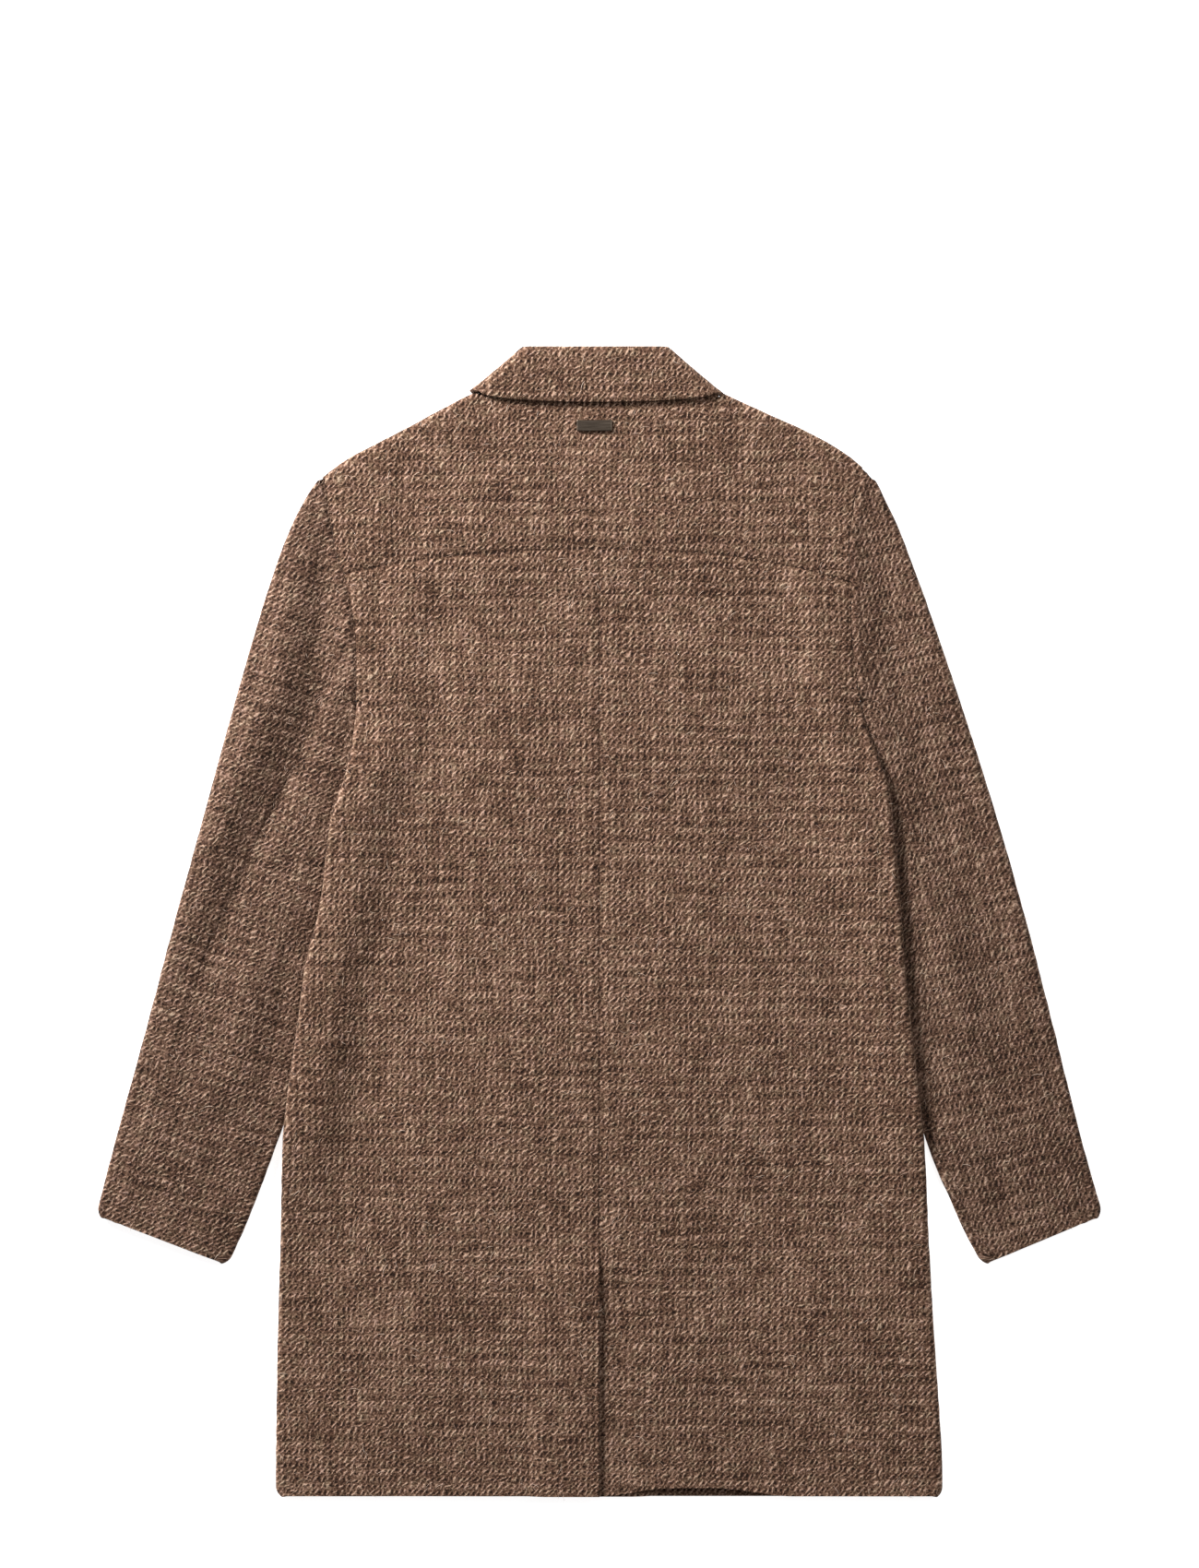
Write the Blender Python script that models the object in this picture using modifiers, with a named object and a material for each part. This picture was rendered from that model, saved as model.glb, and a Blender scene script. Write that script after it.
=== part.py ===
"""Tweed coat laid flat on its front, back upwards.

The coat lies on the XY plane with its collar towards +Y. Each cut piece of
cloth is an open sheet that Solidify turns into a wall. The sheets are worked
out row by row: a row runs over the upper ply, round the rolled fold at the
coat's edge and back along the lower ply.

All sizes below are in millimetres.
"""
import math
from collections import namedtuple

import bmesh
import bpy
from mathutils import Matrix, Vector

MM = 0.001

# Cloth
WALL = 3.0               # tweed with its interlining and lining
SEAM_GAP = 0.3           # between the edges of two pieces
CURVED_GAP = 0.6         # the same along a seam that curves
SHOULDER_GAP = 3.4       # at the hidden shoulder seam, under the tight fold
PLY = WALL + SEAM_GAP    # height that one more ply adds

# Levels of a ply's middle surface
LOW = WALL / 2           # ply that lies on the table
TOP = 8.3                # back of the coat above the fronts
SLEEVE_TOP = 8.3         # upper ply of a sleeve along its outer fold
SLEEVE_TUCKED = 6.4      # upper ply of a sleeve along its inner fold

# Body
HEM_Y = -473.0
UNDERARM_Y = 182.0
CORNER = 9.0             # radius of the hem and cuff corners
WRAP = 14.0              # back and yoke reach this far round under the edge
RIM_FLAT = 20.0          # raised rim beside the sleeves: its level part
RIM_END = 62.0           # and where it has come down
LAP = 28.0               # each front passes the centre by this much
LAP_RUN = 14.0           # the inner front steps down over this length

# Beside the vent the right back's hem is drawn up, from and to these places
HEM_RISE = 6.8
HEM_RISE_STARTS = (-2.0, 60.0)
HEM_RISE_ENDS = (95.0, 160.0)
HEM_RISE_HEIGHT = 90.0

# Yoke and neck
YOKE_CENTRE_Y = 307.5
YOKE_BOW_POWER = 2.4
YOKE_NECK_SHARE = 0.52   # part of the yoke's columns that ends at the neck
NECK_X = (82.0, 100.0)   # back neck under the collar, and its corner
NECK_Y = 438.0
NECK_CORNER_Y = 426.5
FRONT_NECK_Y = 386.0
SHOULDER_END_X = 113.0   # the shoulder's fold stops here, under the collar
NECK_LIFT_X = (128.0, 165.0)
NECK_LIFT_Y = (335.0, 235.0)
FRONT_TOP_POWER = 3.0    # how late a front's rows take its top's slope
SLOPE_STEP = 4.0         # for the direction across the shoulder's fold

# Centre vent
VENT_TOP_Y = -262.0
UNDERLAP_TOP_Y = -300.0
UNDERLAP = 38.0
VENT_RAISE_X = (43.0, 62.0)

# Collar
COLLAR_TOP_Y = 474.3
COLLAR_SAG_Y = 428.6
FALL_Z = (16.6, 14.95)   # fall at its roll line and at its outer edge
FALL_STRIP_Y = 464.3     # fall ends here behind the roll line
ROLL_INSET = 12.0        # the roll stops this far inside the side folds
SIDE_FOLD_START = 0.08   # the side folds start this share below it
STAND_HALF = (84.0, 54.0)

# Plain metal bar on the yoke
BAR_SIZE = (29.0, 9.0, 1.6)
BAR_PLACE = (-4.2, 409.0)
BAR_ROUND = 0.6

# Side edges of the body from hem to shoulder tip. "lift" is how far the
# edge is raised where it lies over the sleeve's inner fold.
Edge = namedtuple("Edge", "y left right left_lift right_lift")
EDGES = (
    Edge(HEM_Y, -267.2, 283.4, 0.0, 0.0),
    Edge(-433.0, -267.0, 282.3, 0.0, 0.0),
    Edge(-342.0, -265.6, 276.4, 0.0, 0.0),
    Edge(-258.0, -263.2, 271.6, 0.6, 0.3),
    Edge(-205.0, -261.8, 269.2, 5.5, 2.8),
    Edge(-170.0, -260.2, 266.8, 8.6, 5.0),
    Edge(-132.0, -255.6, 262.4, 8.8, 5.4),
    Edge(-92.0, -249.7, 258.0, 8.8, 5.4),
    Edge(-34.0, -242.0, 251.6, 8.8, 5.4),
    Edge(1.0, -232.9, 249.4, 8.8, 5.4),
    Edge(31.0, -227.8, 246.7, 8.8, 5.4),
    Edge(67.0, -224.0, 243.6, 8.8, 5.4),
    Edge(90.0, -220.0, 241.3, 8.8, 5.4),
    Edge(112.0, -212.4, 238.4, 8.4, 5.0),
    Edge(134.0, -206.3, 230.8, 6.0, 3.6),
    Edge(152.0, -203.6, 224.0, 3.0, 1.8),
    Edge(172.0, -201.3, 217.5, 0.6, 0.4),
    Edge(192.0, -201.0, 213.2, 0.0, 0.0),
    Edge(220.0, -201.3, 209.2, 0.0, 0.0),
    Edge(248.0, -203.4, 207.2, 0.0, 0.0),
    Edge(284.0, -210.6, 207.6, 0.0, 0.0),
    Edge(304.0, -217.0, 205.6, 0.0, 0.0),
    Edge(334.0, -222.4, 208.4, 0.0, 0.0),
    Edge(367.0, -228.4, 215.0, 0.0, 0.0),
    Edge(377.0, -230.2, 217.4, 0.0, 0.0),
)

# Heights at which the body's side edge has a row, from the hem upwards
SIDE_ROWS = (
    HEM_Y, HEM_Y + 1.4, HEM_Y + 4.6, HEM_Y + CORNER, -433.0, -388.0, -342.0, -300.0, -262.0,
    -232.0, -205.0, -180.0, -152.0, -124.0, -94.0, -62.0, -30.0, 0.0, 30.0,
    56.0, 80.0, 102.0, 122.0, 140.0, 158.0, 182.0,
)
ARMHOLE_ROWS = (205.0, 232.0, 260.0)
YOKE_END_Y = {"left": 287.3, "right": 280.4}
TIP_Y = {"left": 367.1, "right": 375.4}
YOKE_STEPS = (0.0, 0.25, 0.5, 0.75, 1.0)

# Shoulder line, from the armhole's tip to the collar
Shoulder = namedtuple("Shoulder", "x y")
SHOULDERS = {
    "left": (
        Shoulder(-228.4, 367.1), Shoulder(-222.3, 372.4),
        Shoulder(-205.6, 383.8), Shoulder(-183.5, 395.2),
        Shoulder(-161.5, 406.6), Shoulder(-139.5, 418.0),
        Shoulder(-113.0, 430.9),
    ),
    "right": (
        Shoulder(216.9, 375.4), Shoulder(207.1, 383.8),
        Shoulder(189.6, 395.2), Shoulder(167.6, 406.6),
        Shoulder(141.7, 418.0), Shoulder(113.0, 429.4),
    ),
}

# Sleeve stations from the shoulder tip to the cuff: the height of the outer
# and inner ends, and where the hindarm seam crosses (0 inner, 1 outer).
Station = namedtuple("Station", "outer_y inner_y hind")
STATIONS = (
    Station(356.0, 362.0, 0.0),
    Station(341.0, 347.1, 0.0),
    Station(323.0, 327.2, 0.0),
    Station(305.0, 307.2, 0.0),
    Station(287.0, 287.3, 0.0),
    Station(266.0, 260.0, 0.0),
    Station(244.0, 232.0, 0.07),
    Station(222.0, 205.0, 0.19),
    Station(202.0, 182.0, 0.28),
    Station(172.0, 148.0, 0.37),
    Station(138.0, 110.0, 0.46),
    Station(100.0, 68.0, 0.55),
    Station(60.0, 25.0, 0.63),
    Station(20.0, -18.0, 0.70),
    Station(-20.0, -60.0, 0.75),
    Station(-62.0, -103.0, 0.79),
    Station(-105.0, -147.0, 0.81),
    Station(-150.0, -192.0, 0.82),
    Station(-192.0, -233.0, 0.82),
    Station(-241.0, -282.7, 0.82),
)
CUFF_STEPS = (9.0, 4.6, 1.4, 0.0)   # last rows, measured back from the cuff
FOREARM_STRIP = 9.0                 # forearm seam to the inner fold
UNDERARM_STRIP = 5.5                # the same at the underarm
TUCK_MOST = 8.0                     # furthest a sleeve slips under the body
FREE_Y = -120.0                     # below this the inner fold lies free
FOLD_SHARE = 0.25                   # part of the width that rises from the fold

# Outer and free inner edges of the sleeves
SleeveEdge = namedtuple("SleeveEdge", "y left right")
SLEEVE_OUTER = (
    SleeveEdge(367.0, -228.9, 222.6),
    SleeveEdge(361.0, -233.7, 228.4),
    SleeveEdge(349.6, -242.1, 234.5),
    SleeveEdge(326.8, -254.2, 245.9),
    SleeveEdge(304.0, -263.3, 255.0),
    SleeveEdge(258.4, -278.5, 271.7),
    SleeveEdge(182.4, -300.6, 297.5),
    SleeveEdge(91.2, -325.7, 326.4),
    SleeveEdge(0.0, -350.7, 352.3),
    SleeveEdge(-91.2, -375.1, 375.8),
    SleeveEdge(-182.4, -400.1, 398.6),
    SleeveEdge(-241.0, -415.4, 415.4),
)
SLEEVE_INNER = (
    SleeveEdge(FREE_Y, -241.0, 247.0),
    SleeveEdge(-182.4, -265.6, 268.6),
    SleeveEdge(-228.0, -283.1, 289.2),
    SleeveEdge(-250.8, -292.2, 299.0),
    SleeveEdge(-282.7, -306.7, 315.6),
)

# Largest soft troughs: a line on the plan, half width and depth
Trough = namedtuple("Trough", "x0 y0 x1 y1 width depth")
BACK_TROUGHS = (
    Trough(-138.0, 300.0, -132.0, 110.0, 24.0, 2.6),
    Trough(-150.0, 40.0, -140.0, -90.0, 22.0, 1.6),
    Trough(186.0, 330.0, 196.0, 235.0, 13.0, 2.6),
    Trough(150.0, 150.0, 140.0, 20.0, 26.0, 1.4),
    Trough(120.0, -180.0, 150.0, -330.0, 30.0, 1.6),
)
SLEEVE_TROUGHS = (
    Trough(-228.0, 345.0, -248.0, 240.0, 11.0, 2.8),
    Trough(-248.0, 240.0, -292.0, 90.0, 15.0, 3.2),
    Trough(-292.0, 90.0, -330.0, -10.0, 14.0, 2.2),
    Trough(-262.0, -20.0, -268.0, -110.0, 12.0, 2.0),
    Trough(216.0, 345.0, 238.0, 240.0, 11.0, 2.6),
    Trough(238.0, 240.0, 276.0, 90.0, 16.0, 3.2),
    Trough(276.0, 90.0, 328.0, -30.0, 14.0, 2.6),
    Trough(292.0, -60.0, 306.0, -150.0, 16.0, 2.0),
)

# Collar: the side folds run from "roll" to "rim", and the front ends,
# hidden below the coat, run from "front" to "point"
CollarSide = namedtuple("CollarSide", "roll rim front point")
COLLAR = {
    "left": CollarSide((-63.5, 474.0), (-108.0, 437.2), (-9.0, 386.0), (-92.0, 346.0)),
    "right": CollarSide((56.6, 474.0), (102.4, 435.4), (9.0, 386.0), (88.0, 346.0)),
}

# Grid counts
ROLL_STEPS = 5
BACK_COLUMNS = 7
FRONT_COLUMNS = 8
YOKE_COLUMNS = 9
SLEEVE_UPPER = 6
SLEEVE_LOWER = 4
UNDER_COLUMNS = 6
FALL_ROWS = 5
FALL_COLUMNS = 12
LEAF_COLUMNS = 4

# Colours from the photo, linear
TWEED = (0.190, 0.118, 0.082, 1.0)
TWEED_SHADE = (0.150, 0.092, 0.064, 1.0)
GUNMETAL = (0.090, 0.080, 0.075, 1.0)


def clear_scene():
    for obj in list(bpy.data.objects):
        bpy.data.objects.remove(obj)


def smooth_step(value, start, end):
    """0 at start, 1 at end, with a soft S between them."""
    t = min(max((value - start) / (end - start), 0.0), 1.0)
    return t * t * (3.0 - 2.0 * t)


def mix(a, b, t):
    return a + (b - a) * t


def along(table, key, column, at):
    """Cubic curve through a column of a table that is sorted by key."""
    keys = [getattr(row, key) for row in table]
    values = [getattr(row, column) for row in table]
    if keys[0] > keys[-1]:
        keys.reverse()
        values.reverse()
    if at <= keys[0]:
        return values[0]
    if at >= keys[-1]:
        return values[-1]
    i = next(k for k in range(len(keys) - 1) if at <= keys[k + 1])
    before = max(i - 1, 0)
    after = min(i + 2, len(keys) - 1)
    step = keys[i + 1] - keys[i]
    slope_a = (values[i + 1] - values[before]) / (keys[i + 1] - keys[before])
    slope_b = (values[after] - values[i]) / (keys[after] - keys[i])
    t = (at - keys[i]) / step
    return ((2 * t**3 - 3 * t**2 + 1) * values[i]
            + (t**3 - 2 * t**2 + t) * step * slope_a
            + (3 * t**2 - 2 * t**3) * values[i + 1]
            + (t**3 - t**2) * step * slope_b)


def sign(side):
    return -1.0 if side == "left" else 1.0


def body_edge(side, y):
    return along(EDGES, "y", side, y)


def body_lift(side, y):
    return max(along(EDGES, "y", side + "_lift", y), 0.0)


def corner_inset(distance):
    """How far a rounded corner draws in, at a distance from the edge."""
    distance += WALL / 2
    if distance >= CORNER:
        return 0.0
    return CORNER - math.sqrt(CORNER**2 - (CORNER - distance) ** 2)


def trough_depth(troughs, x, y):
    total = 0.0
    for fold in troughs:
        dx, dy = fold.x1 - fold.x0, fold.y1 - fold.y0
        t = ((x - fold.x0) * dx + (y - fold.y0) * dy) / (dx * dx + dy * dy)
        t = min(max(t, 0.0), 1.0)
        distance = math.hypot(x - fold.x0 - t * dx, y - fold.y0 - t * dy)
        total = max(total, fold.depth * math.exp(-(distance / fold.width) ** 2))
    return total


def common_lift(x, y):
    """Rise that both plies share: over the sleeves and over the collar ends."""
    rise = 0.0
    for side in ("left", "right"):
        inside = (body_edge(side, y) - x) * sign(side)
        rise += body_lift(side, y) * (1.0 - smooth_step(inside, RIM_FLAT, RIM_END))
    neck = 1.0 - smooth_step(abs(x), *NECK_LIFT_X)
    neck *= 1.0 - smooth_step(-y, -NECK_LIFT_Y[0], -NECK_LIFT_Y[1])
    return rise + PLY * neck


def body_low(x, y):
    return LOW + common_lift(x, y)


def body_top(x, y):
    return TOP + common_lift(x, y) - trough_depth(BACK_TROUGHS, x, y)


def left_back_top(x, y):
    """The left back climbs over the vent's underlap."""
    raise_y = smooth_step(-y, -VENT_TOP_Y, -UNDERLAP_TOP_Y)
    raise_x = 1.0 - smooth_step(-x, *VENT_RAISE_X)
    return body_top(x, y) + PLY * raise_y * raise_x


def right_front_low(x, y):
    """The right front lies on the left one where they lap."""
    over = 1.0 - smooth_step(x, LAP + 2.0, LAP + LAP_RUN)
    return body_low(x, y) + PLY * over


def sleeve_top(x, y, across):
    """Upper ply of a sleeve; across is 0 at the inner fold, 1 at the outer."""
    risen = smooth_step(across, 0.0, FOLD_SHARE)
    return mix(SLEEVE_TUCKED, SLEEVE_TOP, risen) - trough_depth(SLEEVE_TROUGHS, x, y) * risen


def roll(edge, outward, high, low, steps):
    """Points round a fold, from the upper ply down to the lower one."""
    radius = (high - low) / 2
    points = []
    for k in range(steps + 1):
        angle = math.pi * k / steps
        reach = radius * (math.sin(angle) - 1.0)
        place = edge + outward * (reach - WALL / 2)
        points.append(Vector((place.x, place.y, (high + low) / 2 + radius * math.cos(angle))))
    return points


def paint(obj, name, colour, roughness, metallic=0.0):
    material = bpy.data.materials.new(name)
    material.use_nodes = True
    shader = material.node_tree.nodes["Principled BSDF"]
    shader.inputs["Base Color"].default_value = colour
    shader.inputs["Roughness"].default_value = roughness
    shader.inputs["Metallic"].default_value = metallic
    obj.data.materials.append(material)


def cloth(collection, name, rows, colour=TWEED):
    """Wall of cloth through rows of points; None leaves that place open."""
    bm = bmesh.new()
    grid = [[bm.verts.new(p * MM) if p is not None else None for p in row] for row in rows]
    for lower, upper in zip(grid, grid[1:]):
        for k in range(len(lower) - 1):
            quad = (lower[k], lower[k + 1], upper[k + 1], upper[k])
            if None not in quad:
                bm.faces.new(quad)
    loose = [v for v in bm.verts if not v.link_faces]
    bmesh.ops.delete(bm, geom=loose, context="VERTS")
    bmesh.ops.recalc_face_normals(bm, faces=bm.faces)
    mesh = bpy.data.meshes.new(name)
    bm.to_mesh(mesh)
    bm.free()
    mesh.shade_smooth()
    obj = bpy.data.objects.new(name, mesh)
    collection.objects.link(obj)
    wall = obj.modifiers.new("wall", "SOLIDIFY")
    wall.thickness = WALL * MM
    wall.offset = 0.0
    paint(obj, name + "_tweed", colour, 0.95)
    return obj


def yoke_seam_y(x):
    side = "left" if x < 0 else "right"
    reach = abs(x) / abs(body_edge(side, YOKE_END_Y[side]))
    return mix(YOKE_CENTRE_Y, YOKE_END_Y[side], reach**YOKE_BOW_POWER)


def side_heights(side):
    """Rows of a back panel's side edge, from the hem to the yoke seam."""
    return SIDE_ROWS + ARMHOLE_ROWS + (YOKE_END_Y[side] - SEAM_GAP,)


def hem_rise(x):
    """The right back's hem is drawn up a little beside the vent."""
    return HEM_RISE * smooth_step(x, *HEM_RISE_STARTS) * (1.0 - smooth_step(x, *HEM_RISE_ENDS))


def back_row(side, y, heights, top_level):
    """One row of a back panel, from the centre seam round the side edge."""
    way = sign(side)
    outward = Vector((way, 0.0))
    inset = corner_inset(y - HEM_Y)
    edge = Vector((body_edge(side, y) - way * inset, y))
    high = top_level(edge.x - way * CORNER, y)
    low = body_low(edge.x, y)
    radius = (high - low) / 2 if y <= UNDERARM_Y else 0.0
    share = (y - HEM_Y) / (heights[-1] - HEM_Y)
    row = []
    for k in range(BACK_COLUMNS + 1):
        reach = k / BACK_COLUMNS
        last = edge.x - way * (radius + WALL / 2 if y <= UNDERARM_Y else SEAM_GAP / 2)
        x = mix(way * SEAM_GAP / 2, last, reach)
        ply_y = y
        if k < BACK_COLUMNS:
            ply_y = mix(HEM_Y, yoke_seam_y(x) - SEAM_GAP, share)
        if side == "right":
            ply_y += hem_rise(x) * (1.0 - smooth_step(y, HEM_Y, HEM_Y + HEM_RISE_HEIGHT))
        row.append(Vector((x, ply_y, top_level(x, ply_y))))
    if y > UNDERARM_Y:
        return row + [None] * (ROLL_STEPS + 2)
    turn = roll(edge, outward, row[-1].z, low, ROLL_STEPS)
    row += turn[1:]
    start = turn[-1].x
    end = edge.x - way * WRAP
    for reach in (0.5, 1.0):
        x = mix(start, end, reach)
        row.append(Vector((x, y, body_low(x, y))))
    return row


def make_left_back(collection):
    heights = side_heights("left")
    rows = [back_row("left", y, heights, left_back_top) for y in heights]
    return cloth(collection, "back_left", rows)


def make_right_back(collection):
    """Right back, cut in one with the underlap of the vent."""
    heights = side_heights("right")
    rows = []
    for y in heights:
        row = back_row("right", y, heights, body_top)
        under = [None, None]
        if y <= UNDERLAP_TOP_Y:
            under = [Vector((-UNDERLAP * part, row[0].y, body_top(0.0, y))) for part in (1.0, 0.5)]
        rows.append(under + row)
    return cloth(collection, "back_right", rows)


def front_side_x(side, y):
    """Side edge of a front: the side seam, and the armhole above it."""
    way = sign(side)
    inset = corner_inset(y - HEM_Y)
    if y <= UNDERARM_Y + CURVED_GAP:
        return body_edge(side, y) - way * (inset + WRAP + CURVED_GAP)
    return body_edge(side, y) - way * SEAM_GAP / 2


def front_top_y(side, x):
    """Shoulder seam, then the neckline down to the front edge."""
    seam_x = sign(side) * max(abs(x), SHOULDER_END_X)
    drop = (WRAP + SHOULDER_GAP) / shoulder_outward(side, seam_x).y
    seam_y = along(SHOULDERS[side], "x", "y", seam_x) - drop
    return mix(FRONT_NECK_Y, seam_y, smooth_step(abs(x), 0.0, SHOULDER_END_X))


def make_front(collection, side):
    """Front panel from its side edge to the edge that passes the centre."""
    way = sign(side)
    level = body_low if side == "left" else right_front_low
    upper = [mix(YOKE_END_Y[side], TIP_Y[side] - WRAP, t) for t in YOKE_STEPS[:-1]]
    heights = SIDE_ROWS[:-1] + (UNDERARM_Y + CURVED_GAP,) + ARMHOLE_ROWS
    heights += tuple(upper) + (TIP_Y[side] - WRAP - SHOULDER_GAP,)
    top_y = heights[-1]
    breaks = [LAP * way * -1.0, 0.0, LAP * way, (LAP + LAP_RUN) * way]
    rows = []
    for y in heights:
        side_x = front_side_x(side, y)
        share = (y - HEM_Y) / (top_y - HEM_Y)
        stops = breaks + [mix((LAP + LAP_RUN) * way, side_x, k / FRONT_COLUMNS)
                          for k in range(1, FRONT_COLUMNS + 1)]
        row = []
        for x in stops:
            reach = (x - breaks[0]) / (side_x - breaks[0])
            top_x = mix(breaks[0], front_side_x(side, top_y), reach)
            rise = front_top_y(side, top_x) - top_y
            ply_y = y + rise * share**FRONT_TOP_POWER
            row.append(Vector((x, ply_y, level(x, ply_y))))
        row[-1].y = y
        rows.append(row)
    return cloth(collection, "front_" + side, rows, TWEED_SHADE)


def yoke_top_y(x):
    side = "left" if x < 0 else "right"
    if abs(x) >= SHOULDER_END_X:
        return along(SHOULDERS[side], "x", "y", x)
    return mix(NECK_Y, NECK_CORNER_Y, smooth_step(abs(x), *NECK_X))


def shoulder_outward(side, x):
    """Direction across the shoulder's fold, away from the coat."""
    ahead = along(SHOULDERS[side], "x", "y", x + SLOPE_STEP)
    behind = along(SHOULDERS[side], "x", "y", x - SLOPE_STEP)
    return Vector((behind - ahead, 2.0 * SLOPE_STEP)).normalized()


def make_yoke(collection):
    """Yoke, from its seam to the neck, wrapped over both shoulder folds."""
    left_share = [k / YOKE_COLUMNS for k in range(YOKE_COLUMNS + 1)]
    shares = [-1.0 + t for t in left_share] + left_share[1:]
    columns = []
    for share in shares:
        side = "left" if share < 0 else "right"
        reach = abs(share)
        tip_x = abs(body_edge(side, TIP_Y[side]))
        if reach <= YOKE_NECK_SHARE:
            top_x = SHOULDER_END_X * reach / YOKE_NECK_SHARE
        else:
            past_neck = (reach - YOKE_NECK_SHARE) / (1.0 - YOKE_NECK_SHARE)
            top_x = mix(SHOULDER_END_X, tip_x, past_neck)
        on_shoulder = reach > YOKE_NECK_SHARE
        top = Vector((top_x * sign(side), yoke_top_y(top_x * sign(side))))
        column = []
        outward = shoulder_outward(side, top.x)
        for t in YOKE_STEPS:
            side_y = mix(YOKE_END_Y[side], TIP_Y[side], t)
            side_x = abs(body_edge(side, side_y)) - SEAM_GAP / 2
            x = sign(side) * side_x * mix(reach, top_x / tip_x, t)
            seam_y = yoke_seam_y(sign(side) * abs(body_edge(side, YOKE_END_Y[side])) * reach)
            y = mix(seam_y + SEAM_GAP / 2, top.y, t)
            if t == 1.0 and on_shoulder:
                high, low = body_top(x, y), body_low(x, y)
                place = Vector((x, y)) - outward * ((high - low) / 2 + WALL / 2)
                x, y = place.x, place.y
            column.append(Vector((x, y, body_top(x, y))))
        if on_shoulder:
            edge = Vector((sign(side) * (tip_x - SEAM_GAP / 2) * top_x / tip_x, top.y))
            turn = roll(edge, outward, column[-1].z, body_low(edge.x, edge.y), ROLL_STEPS)
            column += turn[1:]
            end = edge - outward * WRAP
            column.append(Vector((end.x, end.y, body_low(end.x, end.y))))
        else:
            column += [None] * (ROLL_STEPS + 1)
        columns.append(column)
    return cloth(collection, "yoke", columns)


def stations(side):
    """Sleeve rows: inner and outer end on the plan, seam place, cuff inset."""
    rows = []
    span = YOKE_END_Y[side], TIP_Y[side]
    left_span = YOKE_END_Y["left"], TIP_Y["left"]
    for station in STATIONS:
        inner_y = station.inner_y
        if inner_y >= left_span[0]:
            share = (inner_y - left_span[0]) / (left_span[1] - left_span[0])
            inner_y = mix(span[0], span[1], share)
        rows.append((station.outer_y, inner_y, station.hind, 0.0))
    last, cuff = rows[-2], rows.pop()
    sideways = along(SLEEVE_OUTER, "y", side, cuff[0]) - along(SLEEVE_OUTER, "y", side, last[0])
    length = math.hypot(cuff[0] - last[0], sideways)
    for back in CUFF_STEPS:
        t = 1.0 - back / length
        rows.append((mix(last[0], cuff[0], t), mix(last[1], cuff[1], t), cuff[2], corner_inset(back)))
    return rows


def sleeve_tuck(side, y):
    """How far the sleeve's inner fold slips under the raised body edge."""
    sleeve_radius = (SLEEVE_TUCKED - LOW) / 2 + WALL / 2
    body_radius = (TOP - LOW) / 2 + WALL / 2
    reach = sleeve_radius + body_radius + 2 * SEAM_GAP
    apart = body_lift(side, y) + body_radius - sleeve_radius
    side_by_side = math.sqrt(max(reach**2 - apart**2, 0.0))
    return min(sleeve_radius + body_radius - side_by_side, TUCK_MOST)


def sleeve_ends(side, outer_y, inner_y, inset):
    """Plan points of a row's inner and outer end."""
    way = sign(side)
    outer = Vector((along(SLEEVE_OUTER, "y", side, outer_y), outer_y))
    under_body = body_edge(side, inner_y) + way * SEAM_GAP / 2
    if inner_y <= UNDERARM_Y:
        under_body += way * (CURVED_GAP - sleeve_tuck(side, inner_y))
    if inner_y <= FREE_Y:
        free = along(SLEEVE_INNER, "y", side, inner_y)
        under_body = way * max(under_body * way, free * way)
    inner = Vector((under_body, inner_y))
    across = (outer - inner).normalized()
    return inner + across * inset, outer - across * inset, across


def make_sleeve(collection, side):
    """Top sleeve, wrapped round both folds, and the under sleeve patch."""
    top_rows = []
    under_rows = []
    for outer_y, inner_y, hind, inset in stations(side):
        inner, outer, across = sleeve_ends(side, outer_y, inner_y, inset)
        length = (outer - inner).length
        closed = inner_y <= UNDERARM_Y
        strip = mix(UNDERARM_STRIP, FOREARM_STRIP, smooth_step(-inner_y, -UNDERARM_Y, 0.0))
        inner_radius = (SLEEVE_TUCKED - LOW) / 2 + WALL / 2
        outer_radius = (SLEEVE_TOP - LOW) / 2 + WALL / 2

        def upper(reach):
            place = inner + across * reach
            share = reach / length if closed else 1.0
            return Vector((place.x, place.y, sleeve_top(place.x, place.y, share)))

        seam = hind * length
        start = seam + SEAM_GAP / 2 if hind > 0.0 else SEAM_GAP
        last = length - outer_radius
        row = [upper(mix(start, last, k / SLEEVE_UPPER)) for k in range(SLEEVE_UPPER + 1)]
        row += roll(outer, across, row[-1].z, LOW, ROLL_STEPS)[1:]
        near = inner_radius if closed else SEAM_GAP
        for k in range(1, SLEEVE_LOWER + 1):
            place = inner + across * mix(last, near, k / SLEEVE_LOWER)
            row.append(Vector((place.x, place.y, LOW)))
        if closed:
            turn = roll(inner, -across, SLEEVE_TUCKED, LOW, ROLL_STEPS)
            turn.reverse()
            row += turn[1:] + [upper(strip - SEAM_GAP / 2)]
        else:
            row += [None] * (ROLL_STEPS + 1)
        top_rows.append(row)

        if hind > 0.0:
            edge = strip + SEAM_GAP / 2 if closed else SEAM_GAP
            under_rows.append([upper(mix(edge, seam - SEAM_GAP / 2, k / UNDER_COLUMNS))
                               for k in range(UNDER_COLUMNS + 1)])
    cloth(collection, "sleeve_" + side + "_top", top_rows)
    cloth(collection, "sleeve_" + side + "_under", under_rows, TWEED_SHADE)


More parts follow.
